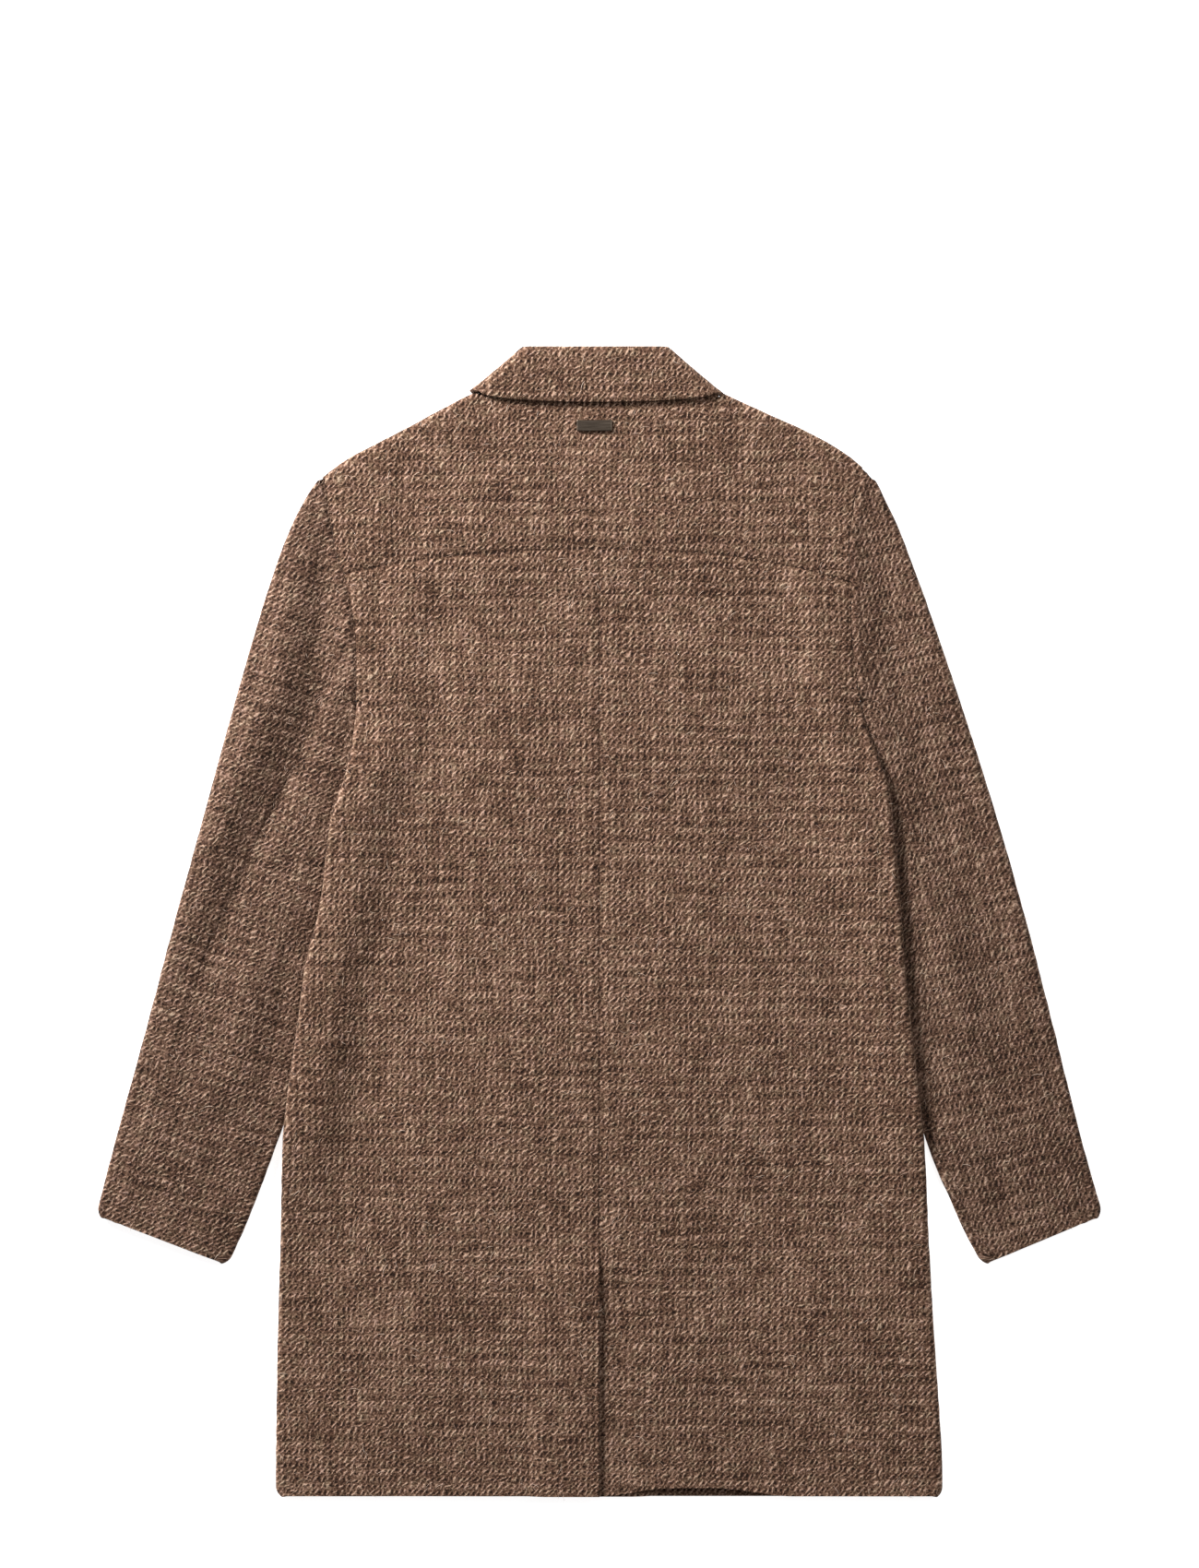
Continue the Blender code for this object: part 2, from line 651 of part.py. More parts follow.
def make_fall(collection):
    """Collar fall: rolled over at the top and folded under at both sides."""
    roll_radius = (FALL_Z[0] - TOP - PLY) / 2
    rows = []
    side_blank = [None] * (LEAF_COLUMNS + ROLL_STEPS)
    stand_z = TOP + PLY
    left, right = COLLAR["left"], COLLAR["right"]
    top_xs = [mix(left.roll[0] + ROLL_INSET, right.roll[0] - ROLL_INSET, k / FALL_COLUMNS)
              for k in range(FALL_COLUMNS + 1)]
    rows.append(side_blank + [Vector((x, FALL_STRIP_Y, stand_z)) for x in top_xs] + side_blank)
    for k in range(ROLL_STEPS):
        angle = math.pi * k / ROLL_STEPS
        y = COLLAR_TOP_Y - WALL / 2 + roll_radius * (math.sin(angle) - 1.0)
        z = (FALL_Z[0] + stand_z) / 2 - roll_radius * math.cos(angle)
        rows.append(side_blank + [Vector((x, y, z)) for x in top_xs] + side_blank)
    for j in range(FALL_ROWS + 1):
        s = j / FALL_ROWS
        level = mix(FALL_Z[0], FALL_Z[1], s)
        row = {}
        for side, shape in COLLAR.items():
            fold = Vector(shape.rim) - Vector(shape.roll)
            outward = Vector((fold.y, -fold.x)).normalized() * -sign(side)
            edge = Vector(shape.roll) + fold * mix(SIDE_FOLD_START, 1.0, s)
            end = Vector(shape.front).lerp(Vector(shape.point), s)
            turn = roll(edge, outward, level, LOW, ROLL_STEPS)
            leaf = [turn[-1].lerp(Vector((end.x, end.y, LOW)), k / LEAF_COLUMNS)
                    for k in range(1, LEAF_COLUMNS + 1)]
            row[side] = turn + leaf
        start, stop = row["left"][0], row["right"][0]
        top = []
        for k in range(1, FALL_COLUMNS):
            t = k / FALL_COLUMNS
            x = mix(start.x, stop.x, t)
            centre_y = mix(COLLAR_TOP_Y - WALL / 2 - roll_radius, COLLAR_SAG_Y, s)
            chord_y = mix(start.y, stop.y, t)
            y = mix(chord_y, centre_y, min(1.0, 4.0 * t * (1.0 - t)) ** 0.5)
            top.append(Vector((x, y, level)))
        rows.append(row["left"][::-1] + top + row["right"])
    return cloth(collection, "collar_fall", rows)


def make_stand(collection):
    """Collar stand at the back neck, under the fall."""
    rows = []
    for t in (0.0, 0.5, 1.0):
        half = mix(STAND_HALF[0], STAND_HALF[1], t)
        y = mix(NECK_Y + SEAM_GAP, FALL_STRIP_Y - SEAM_GAP, t)
        rows.append([Vector((half * k / 4, y, TOP + PLY)) for k in range(-4, 5)])
    return cloth(collection, "collar_stand", rows, TWEED_SHADE)


def make_bar(collection):
    """Small plain bar with rounded ends, sewn to the yoke."""
    bpy.ops.mesh.primitive_cube_add(size=1.0)
    bar = bpy.context.object
    bar.name = "yoke_bar"
    bar.data.name = "yoke_bar"
    bottom = body_top(*BAR_PLACE) + WALL / 2 + SEAM_GAP
    bar.data.transform(Matrix.Diagonal((*(MM * size for size in BAR_SIZE), 1.0)))
    bar.location = Vector((*BAR_PLACE, bottom + BAR_SIZE[2] / 2)) * MM
    edges = bar.modifiers.new("rounded", "BEVEL")
    edges.width = BAR_ROUND * MM
    edges.segments = 2
    for owner in list(bar.users_collection):
        owner.objects.unlink(bar)
    collection.objects.link(bar)
    paint(bar, "gunmetal", GUNMETAL, 0.35, 1.0)


def main():
    clear_scene()
    collection = bpy.data.collections.new("tweed_coat")
    bpy.context.scene.collection.children.link(collection)
    make_left_back(collection)
    make_right_back(collection)
    make_yoke(collection)
    make_front(collection, "left")
    make_front(collection, "right")
    make_sleeve(collection, "left")
    make_sleeve(collection, "right")
    make_fall(collection)
    make_stand(collection)
    make_bar(collection)


main()
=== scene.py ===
# %% [markdown]
# # A tweed coat, laid flat on its front
# The coat lies with its back up and its collar towards +Y. Each cut piece of
# cloth is a grid of points, worked out row by row from the coat's sizes, which
# then gets the cloth's thickness. The sizes below are in millimetres.

# %% Tools and the shared frame
import math
from collections import namedtuple

import bmesh
import bpy
from mathutils import Matrix, Vector, noise
from mathutils.kdtree import KDTree


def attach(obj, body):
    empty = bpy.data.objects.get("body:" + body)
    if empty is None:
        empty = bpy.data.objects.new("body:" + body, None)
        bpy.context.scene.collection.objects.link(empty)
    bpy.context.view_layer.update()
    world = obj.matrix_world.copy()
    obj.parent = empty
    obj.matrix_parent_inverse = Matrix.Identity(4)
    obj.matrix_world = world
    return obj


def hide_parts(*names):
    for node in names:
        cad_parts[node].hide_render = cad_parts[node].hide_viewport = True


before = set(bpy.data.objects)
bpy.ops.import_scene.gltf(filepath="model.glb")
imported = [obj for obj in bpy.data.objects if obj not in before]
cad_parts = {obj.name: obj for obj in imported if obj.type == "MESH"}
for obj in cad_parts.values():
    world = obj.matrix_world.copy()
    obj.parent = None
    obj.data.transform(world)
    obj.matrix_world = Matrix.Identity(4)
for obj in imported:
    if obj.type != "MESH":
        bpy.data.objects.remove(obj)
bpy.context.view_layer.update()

MM = 0.001
print("the frame has", len(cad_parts), "nodes")

# %% [markdown]
# ## Sizes
# The coat's outline, seams and levels. A level is the height of a ply's
# middle surface above the table.

# %% Plies of the coat
WALL = 3.0               # tweed with its interlining and lining
SEAM_GAP = 0.02
CURVED_GAP = 0.2
ARMHOLE_LAP = 0.5        # the sleeve's allowance reaches under the body's edge
SHOULDER_GAP = 3.4
PLY = 3.3
LOW = WALL / 2
TOP = 8.3
SLEEVE_TOP = 8.3
SLEEVE_TUCKED = 5.6
print("the plain upper ply lies at", TOP, "mm")

# %% Hem and sides
HEM_Y = -473.0
UNDERARM_Y = 182.0
CORNER = 9.0
WRAP = 14.0
RIM_FLAT = 20.0
RIM_END = 62.0
LAP = 28.0
LAP_RUN = 14.0
HEM_RISE = 6.8
HEM_RISE_STARTS = (-2.0, 60.0)
HEM_RISE_ENDS = (95.0, 160.0)
HEM_RISE_HEIGHT = 90.0
print("the hem rises by up to", HEM_RISE, "mm")

# %% Yoke and neck
YOKE_CENTRE_Y = 307.5
YOKE_BOW_POWER = 2.4
YOKE_NECK_SHARE = 0.45
NECK_X = (66.0, 98.0)
NECK_Y = 438.0
NECK_CORNER_Y = 436.2
FRONT_NECK_Y = 386.0
SHOULDER_END_X = 98.0
NECK_LIFT_X = (128.0, 165.0)
NECK_LIFT_Y = (335.0, 235.0)
FRONT_TOP_POWER = 3.0
SLOPE_STEP = 4.0
print("the yoke is", NECK_Y - YOKE_CENTRE_Y, "mm high at the middle")

# %% Vent and collar
VENT_TOP_Y = -262.0
UNDERLAP_TOP_Y = -300.0
UNDERLAP = 38.0
VENT_RAISE_X = (43.0, 62.0)

COLLAR_TOP_Y = 474.3
COLLAR_SAG_Y = 428.6
FALL_Z = (16.6, 14.95)
FALL_STRIP_Y = 464.3
FALL_TURN = 0.3
STAND_HALF = (84.0, 54.0)
print("the vent is", VENT_TOP_Y - HEM_Y, "mm long")

# %% Side edges of the body
Edge = namedtuple("Edge", "y left right left_lift right_lift")
EDGES = (
    Edge(HEM_Y, -267.2, 283.4, 0.0, 0.0),
    Edge(-433.0, -267.0, 282.3, 0.0, 0.0),
    Edge(-342.0, -265.6, 276.4, 0.0, 0.0),
    Edge(-258.0, -263.2, 271.6, 0.6, 0.3),
    Edge(-205.0, -261.8, 269.2, 5.5, 2.8),
    Edge(-170.0, -260.2, 266.8, 8.6, 5.0),
    Edge(-132.0, -255.6, 262.4, 8.8, 5.4),
    Edge(-92.0, -249.7, 258.0, 8.8, 5.4),
    Edge(-34.0, -242.0, 251.6, 8.8, 5.4),
    Edge(1.0, -232.9, 249.4, 8.8, 5.4),
    Edge(31.0, -227.8, 246.7, 8.8, 5.4),
    Edge(67.0, -224.0, 243.6, 8.8, 5.4),
    Edge(90.0, -220.0, 241.3, 8.8, 5.4),
    Edge(112.0, -212.4, 238.4, 8.4, 5.0),
    Edge(134.0, -206.3, 230.8, 6.0, 3.6),
    Edge(152.0, -203.6, 224.0, 3.0, 1.8),
    Edge(172.0, -201.3, 217.5, 0.6, 0.4),
    Edge(192.0, -201.0, 213.2, 0.0, 0.0),
    Edge(220.0, -201.3, 209.2, 0.0, 0.0),
    Edge(248.0, -203.4, 207.2, 0.0, 0.0),
    Edge(284.0, -210.6, 207.6, 0.0, 0.0),
    Edge(304.0, -217.0, 205.6, 0.0, 0.0),
    Edge(334.0, -222.4, 208.4, 0.0, 0.0),
    Edge(367.0, -228.4, 215.0, 0.0, 0.0),
    Edge(377.0, -230.2, 217.4, 0.0, 0.0),
)
YOKE_END_Y = {"left": 287.3, "right": 280.4}
TIP_Y = {"left": 367.1, "right": 375.4}
print("the hem is", round(EDGES[0].right - EDGES[0].left, 1), "mm wide")

# %% Shoulders
Shoulder = namedtuple("Shoulder", "x y")
SHOULDERS = {
    "left": (
        Shoulder(-228.4, 367.1), Shoulder(-222.3, 372.4),
        Shoulder(-205.6, 383.8), Shoulder(-183.5, 395.2),
        Shoulder(-161.5, 406.6), Shoulder(-139.5, 418.0),
        Shoulder(-113.0, 432.0), Shoulder(-98.0, 439.0),
    ),
    "right": (
        Shoulder(216.9, 375.4), Shoulder(207.1, 383.8),
        Shoulder(189.6, 395.2), Shoulder(167.6, 406.6),
        Shoulder(141.7, 418.0), Shoulder(113.0, 431.0),
        Shoulder(98.0, 438.0),
    ),
}
print("shoulder points:", len(SHOULDERS["left"]), "and", len(SHOULDERS["right"]))

# %% Sleeve stations
# Sleeve stations from the shoulder tip to the cuff: the height of the outer
# and inner ends, and where the hindarm seam crosses (0 inner, 1 outer).
Station = namedtuple("Station", "outer_y inner_y hind")
STATIONS = (
    Station(361.5, 366.2, 0.0),
    Station(356.0, 362.0, 0.0),
    Station(341.0, 347.1, 0.0),
    Station(323.0, 327.2, 0.0),
    Station(305.0, 307.2, 0.0),
    Station(287.0, 287.3, 0.0),
    Station(266.0, 260.0, 0.0),
    Station(244.0, 232.0, 0.07),
    Station(222.0, 205.0, 0.19),
    Station(202.7, 182.7, 0.278),
    Station(202.0, 182.0, 0.28),
    Station(172.0, 148.0, 0.37),
    Station(138.0, 110.0, 0.46),
    Station(100.0, 68.0, 0.55),
    Station(60.0, 25.0, 0.63),
    Station(20.0, -18.0, 0.70),
    Station(-20.0, -60.0, 0.75),
    Station(-62.0, -103.0, 0.79),
    Station(-105.0, -147.0, 0.81),
    Station(-150.0, -192.0, 0.82),
    Station(-192.0, -233.0, 0.82),
    Station(-241.0, -282.7, 0.82),
)
print(len(STATIONS), "stations along each sleeve")

# %% Laps and gaps of a sleeve
FOREARM_STRIP = 9.0
UNDERARM_STRIP = 5.5
TUCK_MOST = 8.0
TUCK_LEAST = 1.0
PARTING = {"left": 2.5, "right": 9.0}   # sleeve's fold draws back by this much
PARTING_STARTS = (118.0, 60.0)
PARTING_ENDS = (-150.0, -215.0)
FREE_Y = -120.0
FOLD_SHARE = 0.30
print("the sleeve folds draw back by", PARTING["left"], "and", PARTING["right"], "mm")

# %% Side edges of the sleeves
SleeveEdge = namedtuple("SleeveEdge", "y left right")
SLEEVE_OUTER = (
    SleeveEdge(367.0, -228.9, 222.6),
    SleeveEdge(361.0, -233.7, 228.4),
    SleeveEdge(349.6, -242.1, 234.5),
    SleeveEdge(326.8, -254.2, 245.9),
    SleeveEdge(304.0, -263.3, 255.0),
    SleeveEdge(258.4, -278.5, 271.7),
    SleeveEdge(182.4, -300.6, 297.5),
    SleeveEdge(91.2, -325.7, 326.4),
    SleeveEdge(0.0, -350.7, 352.3),
    SleeveEdge(-91.2, -375.1, 375.8),
    SleeveEdge(-182.4, -400.1, 398.6),
    SleeveEdge(-241.0, -415.4, 415.4),
)
SLEEVE_INNER = (
    SleeveEdge(FREE_Y, -241.0, 247.0),
    SleeveEdge(-182.4, -265.6, 268.6),
    SleeveEdge(-228.0, -283.1, 289.2),
    SleeveEdge(-250.8, -292.2, 299.0),
    SleeveEdge(-282.7, -306.7, 315.6),
)
SLEEVE_TURN = {"left": math.radians(-14.5), "right": math.radians(14.5)}
print(len(SLEEVE_OUTER), "points along a sleeve's outer edge")

# %% Outline of the collar
CollarSide = namedtuple("CollarSide", "roll rim front point")
COLLAR = {
    "left": CollarSide((-63.5, 474.0), (-108.0, 437.2), (-9.0, 386.0), (-92.0, 346.0)),
    "right": CollarSide((56.6, 474.0), (102.4, 435.4), (9.0, 386.0), (88.0, 346.0)),
}
print("hem to collar:", COLLAR_TOP_Y - HEM_Y, "mm")

# %% [markdown]
# ## Creases
# Each crease is a line on the plan with a half width and a height: a ridge
# where the height is above 0, a trough where it is below. It fades out
# towards both of its ends. A longer fold bends, so it is a row of knots, each
# with its own width and height. A cloth simulation could make such folds, but
# not in chosen places, so they are given here.

# %% Straight creases
Crease = namedtuple("Crease", "x0 y0 x1 y1 width height")
BACK_CREASES = (
    Crease(-138.0, 300.0, -132.0, 110.0, 17.0, -2.6),
    Crease(-150.0, 40.0, -140.0, -90.0, 22.0, -1.6),
    Crease(150.0, 150.0, 140.0, 20.0, 26.0, -1.4),
    Crease(120.0, -180.0, 150.0, -330.0, 30.0, -1.6),
    Crease(-196.0, 205.0, -188.0, 120.0, 4.5, -1.1),
    Crease(-172.0, 330.0, -186.0, 215.0, 10.0, -1.2),
    Crease(-60.0, 250.0, -72.0, 60.0, 30.0, 0.9),
    Crease(70.0, 260.0, 84.0, 90.0, 34.0, 0.9),
    Crease(-9.0, 300.0, -8.0, -250.0, 7.0, 0.5),
    Crease(9.0, 300.0, 8.0, -250.0, 7.0, 0.5),
    Crease(-14.0, -240.0, -18.0, -460.0, 9.0, 0.6),
    Crease(14.0, -262.0, 20.0, -440.0, 12.0, -0.9),
    Crease(-96.0, -120.0, -70.0, -300.0, 26.0, 1.0),
    Crease(-190.0, -60.0, -176.0, -260.0, 24.0, -1.2),
    Crease(206.0, 40.0, 214.0, -150.0, 20.0, -1.2),
    Crease(60.0, -40.0, 84.0, -190.0, 26.0, 0.9),
    Crease(186.0, -210.0, 172.0, -420.0, 24.0, 1.0),
    Crease(-150.0, -290.0, -138.0, -460.0, 26.0, 1.0),
    Crease(-232.0, -250.0, -226.0, -420.0, 18.0, -1.0),
    Crease(-222.0, 352.0, -150.0, 398.0, 12.0, 0.8),
    Crease(210.0, 358.0, 140.0, 400.0, 12.0, 0.8),
    Crease(-90.0, 400.0, -150.0, 330.0, 22.0, -0.9),
    Crease(90.0, 398.0, 150.0, 325.0, 22.0, -0.9),
)
SLEEVE_CREASES = (
    Crease(-340.0, -60.0, -382.0, -220.0, 12.0, 1.2),
    Crease(-304.0, -130.0, -330.0, -250.0, 11.0, -1.8),
    Crease(-240.0, 66.0, -285.0, 16.0, 8.0, -1.4),
    Crease(-285.0, -150.0, -352.0, -182.0, 9.0, -1.0),
    Crease(236.0, 100.0, 268.0, 50.0, 7.0, -0.8),
    Crease(344.0, -80.0, 380.0, -220.0, 12.0, 1.2),
    Crease(316.0, -170.0, 342.0, -262.0, 11.0, -1.8),
    Crease(300.0, -128.0, 362.0, -150.0, 9.0, -1.0),
)
print(len(BACK_CREASES), "creases on the back,", len(SLEEVE_CREASES), "on the sleeves")

# %% Bent folds
# A long fold passes through knots, each with its own half width and height.
Knot = namedtuple("Knot", "x y width height")
BACK_FOLDS = (
    (Knot(150.0, 384.0, 16.0, 0.0), Knot(166.0, 320.0, 20.0, 2.4),
     Knot(177.0, 250.0, 21.0, 3.2), Knot(186.0, 180.0, 19.0, 3.4),
     Knot(198.0, 110.0, 17.0, 2.0), Knot(206.0, 40.0, 16.0, 0.0)),
    (Knot(207.0, 205.0, 5.0, 0.0), Knot(209.0, 172.0, 5.5, -1.6),
     Knot(215.0, 130.0, 5.5, -1.4), Knot(219.0, 96.0, 6.0, 0.0)),
)
SLEEVE_FOLDS = (
    (Knot(-244.0, 318.0, 12.0, 0.0), Knot(-257.0, 262.0, 16.0, 4.0),
     Knot(-270.0, 190.0, 20.0, 6.0), Knot(-307.0, 96.0, 17.0, 5.8),
     Knot(-331.0, 20.0, 16.0, 4.0), Knot(-354.0, -70.0, 14.0, 1.4),
     Knot(-376.0, -150.0, 14.0, 0.0)),
    (Knot(-218.0, 342.0, 8.0, 0.0), Knot(-224.0, 305.0, 10.0, -2.8),
     Knot(-229.0, 215.0, 15.0, -3.6), Knot(-240.0, 150.0, 15.0, -3.6),
     Knot(-276.0, 76.0, 13.0, -3.4), Knot(-312.0, -4.0, 11.0, -2.4),
     Knot(-336.0, -64.0, 12.0, 0.0)),
    (Knot(-212.0, 230.0, 4.5, 0.0), Knot(-222.0, 204.0, 4.5, -1.6),
     Knot(-244.0, 152.0, 4.5, -1.0), Knot(-266.0, 96.0, 5.0, -0.8),
     Knot(-282.0, 60.0, 6.0, 0.0)),
    (Knot(-276.0, 6.0, 12.0, 0.0), Knot(-291.0, -60.0, 14.0, 2.8),
     Knot(-305.0, -130.0, 14.0, 2.6), Knot(-320.0, -205.0, 14.0, 0.0)),
    (Knot(-250.0, 4.0, 9.0, 0.0), Knot(-258.0, -50.0, 10.0, -2.8),
     Knot(-267.0, -112.0, 10.0, -2.8), Knot(-282.0, -176.0, 10.0, 0.0)),
    (Knot(212.0, 350.0, 9.0, 0.0), Knot(230.0, 290.0, 13.0, -3.0),
     Knot(246.0, 200.0, 17.0, -3.6), Knot(267.0, 120.0, 18.0, -3.6),
     Knot(288.0, 56.0, 17.0, -3.5), Knot(313.0, 0.0, 14.0, -2.8),
     Knot(335.0, -60.0, 12.0, -1.6), Knot(348.0, -104.0, 12.0, 0.0)),
    (Knot(254.0, 300.0, 10.0, 0.0), Knot(275.0, 235.0, 11.0, 1.4),
     Knot(300.0, 160.0, 12.0, 2.6), Knot(324.0, 90.0, 12.0, 3.0),
     Knot(345.0, 10.0, 13.0, 2.6), Knot(360.0, -60.0, 14.0, 1.4),
     Knot(373.0, -124.0, 14.0, 0.0)),
    (Knot(277.0, 22.0, 11.0, 0.0), Knot(288.0, -30.0, 13.0, 2.6),
     Knot(306.0, -90.0, 13.0, 2.4), Knot(324.0, -146.0, 12.0, 0.0)),
    (Knot(260.0, 26.0, 9.0, 0.0), Knot(267.0, -50.0, 9.0, -2.6),
     Knot(279.0, -130.0, 10.0, -2.8), Knot(296.0, -192.0, 10.0, 0.0)),
)
print(len(BACK_FOLDS), "folds on the back,", len(SLEEVE_FOLDS), "on the sleeves")

# %% Unevenness and seam dips
FOLD_REACH = 45.0
SWELL = (0.55, 85.0)         # broad unevenness of laid cloth: height and length
RIPPLE = (0.16, 24.0)        # and the finer kind
EDGE_WAVER = (0.35, 9.0)     # edges are never quite straight
SEAM_DIP = (0.9, 3.2)        # seams draw the cloth down: depth and half width
CAP_RIDGE = (0.8, 4.5, 2.4)  # allowance under the armhole seam's sleeve side
print("broad unevenness of", SWELL[0], "mm every", SWELL[1], "mm")

# %% [markdown]
# ## Curves and levels
# Tables become smooth curves, and the levels say how high each ply lies.

# %% Steps and curves
def smooth_step(value, start, end):
    """0 at start, 1 at end, with a soft S between them."""
    t = min(max((value - start) / (end - start), 0.0), 1.0)
    return t * t * (3.0 - 2.0 * t)


def mix(a, b, t):
    return a + (b - a) * t


def along(table, key, column, at):
    """Cubic curve through a column of a table that is sorted by key."""
    keys = [getattr(row, key) for row in table]
    values = [getattr(row, column) for row in table]
    if keys[0] > keys[-1]:
        keys.reverse()
        values.reverse()
    if at <= keys[0]:
        return values[0]
    if at >= keys[-1]:
        return values[-1]
    i = next(k for k in range(len(keys) - 1) if at <= keys[k + 1])
    before = max(i - 1, 0)
    after = min(i + 2, len(keys) - 1)
    step = keys[i + 1] - keys[i]
    slope_a = (values[i + 1] - values[before]) / (keys[i + 1] - keys[before])
    slope_b = (values[after] - values[i]) / (keys[after] - keys[i])
    t = (at - keys[i]) / step
    return ((2 * t**3 - 3 * t**2 + 1) * values[i]
            + (t**3 - 2 * t**2 + t) * step * slope_a
            + (3 * t**2 - 2 * t**3) * values[i + 1]
            + (t**3 - t**2) * step * slope_b)


print("half way the smooth step gives", smooth_step(0.5, 0.0, 1.0))

# %% Edges of the body at any height
def sign(side):
    return -1.0 if side == "left" else 1.0


def body_edge(side, y):
    return along(EDGES, "y", side, y)


def body_lift(side, y):
    return max(along(EDGES, "y", side + "_lift", y), 0.0)


def corner_inset(distance):
    """How far a rounded corner draws in, at a distance from the edge."""
    distance += WALL / 2
    if distance >= CORNER:
        return 0.0
    return CORNER - math.sqrt(CORNER**2 - (CORNER - distance) ** 2)


print("the left edge at the hem is at x", body_edge("left", HEM_Y), "mm")

# %% Folds and creases at any place
def bell(distance, width):
    return math.exp(-(distance / width) ** 2)


def fold_height(knots, x, y):
    """Height of one long fold, from the nearest place between its knots."""
    near = None
    for a, b in zip(knots, knots[1:]):
        dx, dy = b.x - a.x, b.y - a.y
        t = min(max(((x - a.x) * dx + (y - a.y) * dy) / (dx * dx + dy * dy), 0.0), 1.0)
        distance = math.hypot(x - a.x - t * dx, y - a.y - t * dy)
        if near is None or distance < near[0]:
            t = smooth_step(t, 0.0, 1.0)
            near = distance, mix(a.width, b.width, t), mix(a.height, b.height, t)
    return near[2] * bell(near[0], near[1])


def creased(creases, folds, x, y):
    """Sum of the creases' and folds' heights at a place on the plan."""
    total = 0.0
    for fold in creases:
        dx, dy = fold.x1 - fold.x0, fold.y1 - fold.y0
        t = ((x - fold.x0) * dx + (y - fold.y0) * dy) / (dx * dx + dy * dy)
        if 0.0 < t < 1.0:
            distance = math.hypot(x - fold.x0 - t * dx, y - fold.y0 - t * dy)
            if distance < 3.0 * fold.width:
                fade = smooth_step(1.0 - abs(2.0 * t - 1.0), 0.0, 0.7)
                total += fold.height * fade * bell(distance, fold.width)
    for knots in folds:
        if knots[-1].y - FOLD_REACH < y < knots[0].y + FOLD_REACH and x * knots[0].x > 0.0:
            total += fold_height(knots, x, y)
    return total


print("all creases at x 186, y 180 mm:",
      round(creased(BACK_CREASES, BACK_FOLDS, 186.0, 180.0), 1), "mm")

# %% Unevenness and common lift
def uneven(x, y, z=0.0):
    """Broad and fine unevenness of cloth that was laid by hand."""
    broad = noise.noise(Vector((x / SWELL[1], y / SWELL[1], z)))
    fine = noise.noise(Vector((x / RIPPLE[1], y / RIPPLE[1], z + 7.0)))
    return SWELL[0] * broad + RIPPLE[0] * fine


def common_lift(x, y):
    """Rise that both plies share: over the sleeves and over the collar ends."""
    rise = 0.0
    for side in ("left", "right"):
        inside = (body_edge(side, y) - x) * sign(side)
        rise += body_lift(side, y) * (1.0 - smooth_step(inside, RIM_FLAT, RIM_END))
    neck = 1.0 - smooth_step(abs(x), *NECK_LIFT_X)
    neck *= 1.0 - smooth_step(-y, -NECK_LIFT_Y[0], -NECK_LIFT_Y[1])
    return rise + PLY * neck


def body_low(x, y):
    return LOW + common_lift(x, y)


print("unevenness at the middle:", round(uneven(0.0, 0.0), 2), "mm")

# %% Seams and the upper ply
def yoke_seam_y(x):
    side = "left" if x < 0 else "right"
    reach = min(abs(x) / abs(body_edge(side, YOKE_END_Y[side])), 1.05)
    return mix(YOKE_CENTRE_Y, YOKE_END_Y[side], reach**YOKE_BOW_POWER)


def seam_dip(x, y):
    """How far the body's seams draw the cloth down."""
    side = "left" if x < 0 else "right"
    near = [y - yoke_seam_y(x)]
    if VENT_TOP_Y - 6.0 < y < YOKE_CENTRE_Y:
        near.append(x)
    if y > UNDERARM_Y:
        near.append(x - body_edge(side, y))
    return SEAM_DIP[0] * max(bell(distance, SEAM_DIP[1]) for distance in near)


def body_top(x, y):
    level = TOP + common_lift(x, y) + creased(BACK_CREASES, BACK_FOLDS, x, y)
    return level + uneven(x, y) - seam_dip(x, y)


print("the yoke seam's middle is at y", yoke_seam_y(0.0), "mm")

# %% Laps and the sleeves' upper ply
def left_back_top(x, y):
    """The left back climbs over the vent's underlap."""
    raise_y = smooth_step(-y, -VENT_TOP_Y, -UNDERLAP_TOP_Y)
    raise_x = 1.0 - smooth_step(-x, *VENT_RAISE_X)
    return body_top(x, y) + PLY * raise_y * raise_x


def right_front_low(x, y):
    """The right front lies on the left one where they lap."""
    over = 1.0 - smooth_step(x, LAP + 2.0, LAP + LAP_RUN)
    return body_low(x, y) + PLY * over


def sleeve_top(x, y, across):
    """Upper ply of a sleeve; across is 0 at the inner fold, 1 at the outer."""
    risen = smooth_step(across, 0.0, FOLD_SHARE)
    level = mix(SLEEVE_TUCKED, SLEEVE_TOP, risen)
    return level + (creased(SLEEVE_CREASES, SLEEVE_FOLDS, x, y) + uneven(x, y, 3.0)) * risen


print("back at the middle lies at", round(body_top(-100.0, 0.0), 2), "mm")

# %% [markdown]
# ## Cloth
# A grid of points becomes one open sheet with its grain as a UV map in
# millimetres, so that every thread keeps its real size. Solidify gives the
# wall, and a small bevel rounds its cut edges where two pieces meet.

# %% Rows across a sheet
EDGE_STEPS = (0.0, 0.8, 1.8, 3.0, 4.6)
EDGE_ROUND = 1.1
SEAM_SHADE_WIDTH = 1.1
ROLL_STEPS = 8


def dense(values, step):
    """The values with more between them, none further apart than step."""
    result = [values[0]]
    for a, b in zip(values, values[1:]):
        count = max(1, math.ceil(abs(b - a) / step))
        result += [mix(a, b, k / count) for k in range(1, count + 1)]
    return result


def spread(start, stop, count):
    """Places from start to stop, closer together near both ends."""
    scale = min(1.0, abs(stop - start) / (3.0 * EDGE_STEPS[-1]))
    scale = math.copysign(scale, stop - start)
    head = [start + scale * step for step in EDGE_STEPS]
    tail = [stop - scale * step for step in reversed(EDGE_STEPS)]
    return head + [mix(head[-1], tail[0], k / count) for k in range(1, count)] + tail


